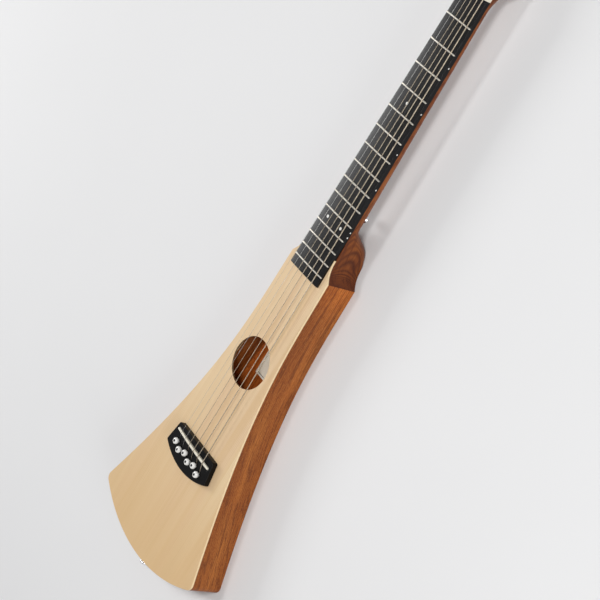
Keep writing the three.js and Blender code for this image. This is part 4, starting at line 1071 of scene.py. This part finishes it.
def nut_rings():
    """Sections of the nut across the guitar, closed round a profile with a flat bottom. The top's height
    falls towards the head, is rounded at its front edge and at both ends, and drops to a half-round floor
    inside each string's slot."""
    half = board_nut_half
    radii = string_diameters / 2 + string_seat
    seats = [route[np.argmin(np.abs(route[:, 1] - nut_line))] for route, _, _ in paths]
    ends = [route[-winding_points] for route, _, _ in paths]
    inside = np.sin(np.linspace(-pi / 2, pi / 2, 11))
    stations = [np.linspace(-half, half, 60)]
    for seat, radius in zip(seats, radii):
        stations.append(seat[0] + radius * np.concatenate([[-1.02], inside, [1.02]]))
    x = np.unique(np.concatenate(stations))[:, None]
    share = np.array([0, 0, 0.02, 0.06, 0.12, 0.25, 0.4, 0.55, 0.7, 0.85, 0.95, 1, 1])
    y = nut_line + nut_thickness * share
    back = nut_back_drop * np.clip((share - nut_back_start) / (1 - nut_back_start), 0, 1)**nut_back_curve
    front_fall, end_fall = (nut_edge_radius * (1 - np.sqrt(1 - np.clip(1 - way, 0, 1)**2))
                            for way in (share / nut_front_share, (half - np.abs(x)) / nut_edge_radius))
    z = nut_top - front_fall - back - end_fall
    for seat, end, radius in zip(seats, ends, radii):
        centre_z = lerp(seat[2], end[2], (y - seat[1]) / (end[1] - seat[1]))
        aside = np.clip(np.abs(x - seat[0]) / radius, 0, 1)
        z = np.where(aside < 1, np.minimum(z, centre_z - radius * np.sqrt(1 - aside**2)), z)
    z[:, 0] = z[:, -1] = rim_level
    return spread(x, y, z)


bone = plain("white bone", (0.84, 0.79, 0.66, 1), (0.76, 0.7, 0.56, 1), gloss=0.32, scale=160)
piece("white_nut", [skin(closed(nut_rings()))], bone, "nut")


# Bridge: black composite glued on the soundboard, with a straight front, sides that spread and a
# round back. It is slotted for the saddle and drilled for six pins, each with a ramp for its string.
bridge_front_half = 0.0404
bridge_back_half = 0.0457
bridge_side_length = 0.0285
bridge_bulge = 0.012
bridge_bevel = 0.0013
bridge_corner = 0.0022
bridge_front = bridge_high.y
bridge_black = (0.0028, 0.0026, 0.0025, 1)
bridge_grey = (0.006, 0.0055, 0.005, 1)
pin_ramp_length = 0.003
saddle_length = 0.076
saddle_thickness = 0.0032
saddle_play = 0.0001
saddle_turn = -atan(saddle_slope)


def bridge_outline():
    """The bridge from above: its front corners, its back corners and the arc that joins these, each
    corner rounded."""
    radius = (bridge_back_half**2 + bridge_bulge**2) / (2 * bridge_bulge)
    centre = (0, bridge_front - bridge_side_length - bridge_bulge + radius)
    back = arc(centre, radius, np.arcsin(bridge_back_half / radius) - pi / 2, -pi / 2, 24)
    back[-1, 0] = 0
    outline = both_sides(np.vstack([[(bridge_front_half, bridge_front)], back]))
    radii = np.zeros(len(outline))
    radii[[0, 1, -1, -2]] = bridge_corner
    return softened(outline, radii, 6)


def turned_about(points, centre, angle):
    """Flat points turned about a centre."""
    return centre + points @ np.array([[cos(angle), sin(angle)], [-sin(angle), cos(angle)]])


def pin_place(ball):
    """A pin's place from above, behind its string's ball."""
    return np.array([ball[0], ball[1] - pin_shaft_radius - seam - ball_radius])


def pin_hole(k, ball):
    """A pin's hole with its string's ramp: most of a circle, and a slot with a round end towards the
    saddle."""
    room = string_diameters[k] / 2 + seam
    radius = pin_shaft_radius + seam
    opening = np.arcsin(room / radius)
    return pin_place(ball) + np.vstack([arc((0, 0), radius, pi / 2 + opening, 5 * pi / 2 - opening, 30),
                                        arc((0, radius + pin_ramp_length), room, 0, pi, 9)])


slot_half = np.array([saddle_length / 2, saddle_thickness / 2]) + saddle_play
slot = softened(rectangle(*-slot_half, *slot_half), 0.99 * slot_half[1], 8)
slot = turned_about(slot, np.array([0, saddle_centre]), saddle_turn)
bridge_holes = [slot] + [pin_hole(k, ball) for k, (_, _, ball) in enumerate(paths)]
piece("black_bridge", [plate(bridge_outline(), bridge_holes, top_level, bridge_top, bridge_bevel, steps=5)],
      composite("bridge composite", bridge_black, bridge_grey, gloss=0.3, gleam=0.12),
      "bridge")


# Saddle: a white bar let into the bridge's slot, with round ends and a crowned top that follows the
# arch of the strings.
saddle_slot_depth = 0.005
saddle_crown = 0.0014


def saddle_rings():
    """Sections along the saddle: flat sides under a half-oval crown. The thickness runs out in a half
    circle at each end, and the top follows the strings' arch and rolls down at the ends."""
    thick = saddle_thickness / 2
    x, share = rolled_ends(saddle_length / 2, thick, 9, 40)
    angle = np.linspace(0, pi, 13)
    top = saddle_level(x) - thick * (1 - share)
    floor = np.full_like(x, bridge_top - saddle_slot_depth)
    y = thick * np.hstack([share, share * np.cos(angle), -share])
    flat = np.stack(np.broadcast_arrays(x, y), axis=-1)
    flat = turned_about(flat, np.array([0, saddle_centre]), saddle_turn)
    return raised(flat, np.hstack([floor, top - saddle_crown * (1 - np.sin(angle)), floor]))


piece("white_saddle", [skin(closed(saddle_rings()))], bone, "saddle")


# Bridge pins: white plastic, each a tapered shaft under a domed head with a black dot on top. Each
# holds its string's ball under the bridge plate.
pin_head_radius = 0.0041
pin_head_height = 0.005
pin_dot_radius = 0.0016
pin_dot_dome = ((1, 0), (0.8, 0.00008), (0, 0.00012))
pin_dot_sink = 0.00013
pin_profile = softened([(0, -0.022), (0.0021, -0.022), (0.0026, -0.011), (0.0026, 0.0006), (0.0039, 0.0012),
                        (pin_head_radius, 0.0024), (0.0037, 0.0039), (0.0022, 0.0048),
                        (0, pin_head_height)], 0.0005, 4, closed=False)
dot_profile = [(0, -0.001), (pin_dot_radius, -0.001)] + [
    (share * pin_dot_radius, rise) for share, rise in pin_dot_dome]
pin_white = plain("pin white", (0.84, 0.83, 0.8, 1), (0.77, 0.75, 0.7, 1), gloss=0.18, scale=300)
pin_black = composite("pin dot black", bridge_black, bridge_grey, gloss=0.25, gleam=0.08)
for k, (_, _, ball) in enumerate(paths):
    foot = (*pin_place(ball), bridge_top)
    top = (*pin_place(ball), bridge_top + pin_head_height - pin_dot_sink)
    piece(f"pin_{k + 1}", [turned(pin_profile, foot, (0, 0, 1), 48)], pin_white,
          f"bridge_pin_{k + 1}", crisp=60, flats=False)
    piece(f"pin_dot_{k + 1}", [turned(dot_profile, top, (0, 0, 1), 32)], pin_black,
          crisp=60, flats=False)


# Strap buttons: chromed and turned, with a broad foot, a drawn-in waist and a round head, each held
# by one countersunk screw, in the middle of the tail and on the back of the neck ahead of the heel.
button_height = 0.015
button_foot_radius = 0.007
button_waist_radius = 0.0034
button_head_radius = 0.0054
button_rim = 0.0016
button_rim_share = 0.6
screw_radius = 0.0018
screw_length = 0.01
screw_head_radius = 0.0029
recess_radius = 0.0034
recess_depth = 0.0009
small_edge = 0.0003


def button_profile():
    """From the screw's tip up the shank, out over the foot, in along the waist, whose radius is the
    waist's plus fourth powers of the way to the foot and to the head, over the round head and down into
    the recess."""
    t = np.linspace(0, 1, 22)
    waist = (button_waist_radius + (button_foot_radius - button_waist_radius) * (1 - t)**4
             + (button_head_radius - button_waist_radius) * t**4)
    rise = np.linspace(button_rim + seam, button_height - 2 * button_rim, 22)
    roll = np.linspace(-pi / 2, pi / 2, 12)[1:]
    head = np.column_stack([button_head_radius - button_rim_share * button_rim * (1 - np.cos(roll)),
                            button_height + seam - button_rim * (1 - np.sin(roll))])
    start = [(0, -screw_length), (0.4 * screw_radius, -screw_length), (screw_radius, -0.7 * screw_length),
             (screw_radius, seam), (button_foot_radius - small_edge, seam),
             (button_foot_radius, seam + small_edge), (button_foot_radius, button_rim)]
    floor = button_height - recess_depth
    end = [(recess_radius, button_height + seam), (recess_radius - small_edge, floor),
           (screw_head_radius, floor), (0.8 * screw_head_radius, floor + 0.0004), (0, floor + 0.0006)]
    return np.vstack([start, np.column_stack([waist, rise]), head, end])


chrome = metal("chrome", (0.8, 0.81, 0.83, 1), gloss=0.07, scratch_scale=500, scratches=0.2)
tail_low, tail_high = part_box("strap_button_tail")
foot_low, foot_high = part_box("strap_button_neck")
tail_foot = (0, tail_end, (tail_low.z + tail_high.z) / 2)
neck_foot = (0, (foot_low.y + foot_high.y) / 2, foot_high.z - screw_length)
for name, foot, out in (("tail", tail_foot, (0, -1, 0)), ("neck", neck_foot, (0, 0, -1))):
    piece(f"{name}_strap_button", [turned(button_profile(), foot, out, 64)], chrome,
          f"strap_button_{name}", flats=False)


# Tuners: six enclosed machines behind the head. Each has a cast housing with a threaded sleeve
# through the head, a ring nut and washer, a post with a worm wheel, and a worm with its button.
wheel_teeth = 14
worm_pitch = 0.002469
worm_radius = 0.0022
tooth_addendum = 0.00065
tooth_dedendum = 0.00095
tooth_tip_share = 0.24
tooth_root_share = 0.46
wheel_thickness = 0.004
gear_clearance = 0.0004
box_wall = 0.0012
box_edge = 0.0014
box_rim_edge = 0.0002
box_corners = [0.005, 0.005, 0.0025, 0.0025]
post_radius = 0.003
post_pivot_radius = 0.002
post_above_head = 0.018
post_edge = 0.0006
post_waist_levels = (0.005, 0.0058, 0.0142, 0.015)
post_dimple_radius = 0.0012
post_dimple_depth = 0.0005
sleeve_radius = 0.0046
thread_pitch = 0.0007
thread_depth = 0.00012
ring_nut_radius = 0.0064
ring_nut_thickness = 0.002
washer_radius = 0.0079
washer_thickness = 0.0006
shaft_radius = 0.0019
worm_half_turns = 1.25
worm_half_length = 1.75 * worm_pitch
thread_sink = 0.0003
collar_from_box = 0.0012
collar_thickness = 0.001
collar_slope = 0.0004
hairline = 0.00005
button_from_box = 0.004
button_length = 0.0125
button_half_width = 0.008
button_half_thickness = 0.0032
knob_root_width = 0.18
knob_root_thickness = 0.5
knob_dish = 0.25
string_hole_radius = 0.0009
string_hole_below_top = 0.005
drill_length = 0.01
wheel_radius = wheel_teeth * worm_pitch / (2 * pi)
gear_distance = wheel_radius + worm_radius
worm_room = worm_radius + tooth_addendum + gear_clearance
box_half = wheel_radius + tooth_addendum + gear_clearance + box_wall
box_depth = 2 * (worm_room + box_wall)


def housing(side):
    """The housing as a cup that opens towards the head: rings round its outline go down its inner wall,
    up its outer one, and fold over its floor and its rounded edges. A boss stands round the worm's shaft,
    and one screw holds the lid."""
    outline = softened(rectangle(-box_half, -box_half, box_half, gear_distance + worm_room + box_wall),
                       box_corners, 8)
    edge_in, edge_rise = edge_round(box_edge, 5)
    drawn = [*edge_in[::-1], 0, box_rim_edge, box_wall, box_wall]
    levels = [*(edge_rise[::-1] - box_depth / 2), box_depth / 2 - box_rim_edge, box_depth / 2,
              box_depth / 2, box_wall - box_depth / 2]
    cup = skin(closed(at_levels([inset(outline, d) for d in drawn], levels)))
    bore = shaft_radius + 2 * hairline
    boss = [(bore, 0), (bore + 0.0012, 0), (bore + 0.0012, 0.0006), (bore + 0.0008, 0.001), (bore, 0.001),
            (bore, 0)]
    screw = [(0, 0), (0.0022, 0), (0.0022, 0.0004), (0.0018, 0.0009), (0.0007, 0.0011), (0, 0.00112)]
    return [cup,
            turned(boss, (side * (box_half - 2 * hairline), gear_distance, 0), (side, 0, 0), 40, (0, 0, 1)),
            turned(screw, (0, 0, hairline - box_depth / 2), (0, 0, -1), 40)]


def sleeve():
    """The threaded sleeve, a ring that reaches from the housing to the ring nut."""
    low, high = box_depth / 2 - box_wall, gear_below_head + seam + ring_nut_thickness
    bore = post_radius + seam
    turn = np.linspace(low, high - 0.0004, 60)
    thread = sleeve_radius - thread_depth * (1 + np.sin(2 * pi * turn / thread_pitch))
    return turned([(bore, low), *zip(thread, turn), (sleeve_radius - 0.0005, high), (bore, high),
                   (bore, low)], (0, 0, 0), (0, 0, 1), 48)


def ring_nut():
    """A six-sided nut with eased corners and a washer under it."""
    level = gear_below_head
    hexagon = softened(circle(0, 0, ring_nut_radius, 6), 0.0007, 4)
    nut = plate(hexagon, [circle(0, 0, sleeve_radius + hairline, 48)], level + washer_thickness,
                level + seam + ring_nut_thickness, 0.0004, steps=3)
    washer = [(sleeve_radius, hairline), (washer_radius, hairline), (washer_radius + 0.0002, 0.0002),
              (washer_radius, 0.0005), (sleeve_radius, washer_thickness), (sleeve_radius, hairline)]
    return [nut, turned(washer, (0, 0, level), (0, 0, 1), 64)]


def toothed(radius, count):
    """The outline of a gear: straight-sided teeth between a root circle and a tip circle."""
    middle = pi / 2 + 2 * pi * (np.arange(count) + 0.5)[:, None] / count
    angle = middle + pi / count * np.array([-tooth_root_share, -tooth_tip_share, tooth_tip_share,
                                            tooth_root_share])
    reach = radius + np.array([-tooth_dedendum, tooth_addendum, tooth_addendum, -tooth_dedendum])
    return np.stack([reach * np.cos(angle), reach * np.sin(angle)], axis=-1).reshape(-1, 2)


def post_parts():
    """The post, with a waist for the string and a domed top, and its worm wheel, whose teeth lean with
    the worm's thread."""
    foot, top = box_wall + seam - box_depth / 2, gear_below_head + post_above_head
    waist = [gear_below_head + level for level in post_waist_levels]
    outline = [(0, foot), (post_pivot_radius, foot), (post_pivot_radius, 0), (post_radius, 0),
               (post_radius, waist[0]), (post_waist_radius, waist[1]), (post_waist_radius, waist[2]),
               (post_radius, waist[3]), (post_radius, top - post_edge), (post_radius - post_edge, top),
               (post_dimple_radius, top), (2 / 3 * post_dimple_radius, top - post_dimple_depth),
               (0, top - post_dimple_depth)]
    post = turned(softened(outline, 0.0004, 3, closed=False), (0, 0, 0), (0, 0, 1), 48)
    levels = np.linspace(-wheel_thickness / 2, wheel_thickness / 2, 5)
    lean = worm_pitch / (2 * pi * worm_radius) * levels / wheel_radius
    flat = toothed(wheel_radius, wheel_teeth)
    return [post, skin(closed(at_levels([turned_about(flat, 0, angle) for angle in lean], levels)))]


def worm_parts(side):
    """The worm's thread as a trapezoid carried along a helix round X, and the shaft with its collar."""
    turn = np.linspace(-worm_half_turns, worm_half_turns, 81)[:, None]
    core = worm_radius - tooth_dedendum
    flank = worm_pitch / 2 * np.array([-tooth_root_share, -tooth_tip_share, tooth_tip_share,
                                       tooth_root_share])
    tip, root = worm_radius + tooth_addendum, core - thread_sink
    reach = np.array([root, tip, tip, root])
    angle = pi + 2 * pi * turn
    thread = spread(turn * worm_pitch + flank, gear_distance + reach * np.cos(angle), reach * np.sin(angle))
    half = worm_half_length
    collar = box_half + collar_from_box
    collar_end = collar + collar_thickness
    end = box_half + button_from_box + 0.001
    outline = [(0, -half), (core, -half), (core, half), (shaft_radius, half), (shaft_radius, collar),
               (1.5 * shaft_radius, collar), (1.5 * shaft_radius, collar_end),
               (shaft_radius, collar_end + collar_slope), (shaft_radius, end), (0, end)]
    return [skin(closed(thread)), turned(softened(outline, 0.0002, 3, closed=False),
                                         (0, gear_distance, 0), (side, 0, 0), 40, (0, 0, 1))]


def knob(side):
    """The button: ovals along its axis, whose half widths rise and fall as a power of a sine, flattened
    in the middle of both faces."""
    t = np.linspace(0, 1, 40)[:, None]
    angle = 2 * pi * np.arange(48) / 48
    wide = button_half_width * lerp(knob_root_width, 1, np.sin(pi * t**0.85)**0.55)
    thick = button_half_thickness * lerp(knob_root_thickness, 1, np.sin(pi * t)**0.5)
    wide, thick = (size * np.minimum(1, (1 - t) * rate)**0.5 for size, rate in ((wide, 40), (thick, 30)))
    dish = 1 - knob_dish * np.sin(pi * t)**2 * np.sin(angle)**6
    place = side * (box_half + button_from_box + button_length * t)
    y = gear_distance + wide * np.sign(np.cos(angle)) * np.abs(np.cos(angle))**0.8
    z = thick * dish * np.sign(np.sin(angle)) * np.abs(np.sin(angle))**0.9
    return skin(closed(spread(place, y, z)))


def drilled(made, place, axis, radius, length):
    """Cuts a straight hole through a piece with a rod, which is then removed."""
    outline = [(0, -length / 2), (radius, -length / 2), (radius, length / 2), (0, length / 2)]
    drill = in_scene("drill", solid_mesh("drill", [turned(outline, place, axis, 24, (0, 0, 1))]))
    cut = made.modifiers.new("hole", "BOOLEAN")
    cut.object = drill
    cut.operation = "DIFFERENCE"
    cut.solver = "EXACT"
    cut.use_self = True
    graph = bpy.context.evaluated_depsgraph_get()
    result = bpy.data.meshes.new_from_object(made.evaluated_get(graph))
    made.modifiers.remove(cut)
    made.data = result
    made.data.set_sharp_from_angle(angle=radians(35))
    bpy.data.objects.remove(drill)


for k, post in enumerate(posts, 1):
    side = np.sign(post[0])
    case, turning, driving = ([(in_head(points, post), faces) for points, faces in parts] for parts in (
        [*housing(side), sleeve(), *ring_nut()], post_parts(), [*worm_parts(side), knob(side)]))
    piece(f"tuner_case_{k}", case, chrome, f"tuner_housing_{k}")
    made = piece(f"post_and_wheel_{k}", turning, chrome, f"tuner_post_{k}", f"post_{k}",
                 flats=False)
    hole_level = gear_below_head + post_above_head - string_hole_below_top
    drilled(made, in_head(np.array([0, 0, hole_level]), post), (1, 0, 0), string_hole_radius, drill_length)
    piece(f"worm_and_button_{k}", driving, chrome, f"tuner_button_{k}", f"button_{k}",
          flats=False)


# Studio: a pale floor under the guitar, two soft lamps above it and three round it, and an even
# pale room, which is brighter to the eye and in reflections than as a light.
floor_half = 6
floor_fade_start = 0.9
floor_fade_end = 3.5
floor_pale = (0.8, 0.8, 0.8, 1)
floor_paler = (0.83, 0.83, 0.83, 1)
floor_far = (0.4, 0.4, 0.41, 1)
room_colour = (0.97, 0.97, 1.0, 1)
room_light = 0.22
room_seen = 0.55


def seen_rays(tree):
    """1 for the rays that see a thing, directly or in a reflection or through glass, and 0 for those
    that it lights."""
    rays = tree.add("LightPath")
    indirect = tree.calc("MAXIMUM", rays["Is Glossy Ray"], rays["Is Transmission Ray"])
    return tree.calc("MAXIMUM", rays["Is Camera Ray"], indirect)


def ground():
    """A matt pale floor with the faintest unevenness, lifted to the room's tone far from the lamps."""
    made, tree, shader = material("studio floor", Roughness=0.9, Specular_IOR_Level=0.1,
                                  Emission_Strength=1.0)
    place = tree.place()
    tree.feed(shader["Base Color"], tree.mixed(tree.noise(place, 3, 3), floor_pale, floor_paler))
    away = tree.add("VectorMath", {0: place}, operation="LENGTH")["Value"]
    far = tree.calc("MULTIPLY", tree.step(away, floor_fade_start, floor_fade_end), seen_rays(tree))
    tree.feed(shader["Emission Color"], tree.mixed(far, (0, 0, 0, 1), floor_far))
    return made


def lamp(name, place, target, size, power):
    """A square soft lamp that faces a target."""
    made = in_scene(name, bpy.data.lights.new(name, "AREA"))
    made.data.size = size
    made.data.energy = power
    made.location = place
    made.rotation_euler = (Vector(place) - Vector(target)).to_track_quat("Z", "Y").to_euler()


floor_mesh = bpy.data.meshes.new("floor")
floor_corners = raised(rectangle(-floor_half, -floor_half, floor_half, floor_half), 0)
floor_mesh.from_pydata(floor_corners.tolist(), [], [(0, 1, 2, 3)])
floor_mesh.materials.append(ground())
in_scene("floor", floor_mesh)
lamp("top lamp", (1.2, 0.7, 2.1), (0, 0, 0), size=0.5, power=24)
lamp("second top lamp", (-0.4, -0.1, 2.35), (0, 0, 0), size=0.35, power=11)
lamp("treble lamp", (-2.05, -0.38, 1.2), (0, 0.1, 0), size=0.8, power=20)
lamp("head lamp", (-1.6, 1.5, 1.1), (0, 0.1, 0), size=0.7, power=2)
lamp("bass lamp", (2.25, -0.3, 0.75), (0, 0, 0), size=1.1, power=17)
scene.world = bpy.data.worlds.new("studio room")
scene.world.use_nodes = True
room_tree = Nodes(scene.world.node_tree)
room = scene.world.node_tree.nodes["Background"].inputs
room["Color"].default_value = room_colour
room_tree.feed(room["Strength"], room_tree.calc("MULTIPLY_ADD", seen_rays(room_tree),
                                                room_seen - room_light, room_light))
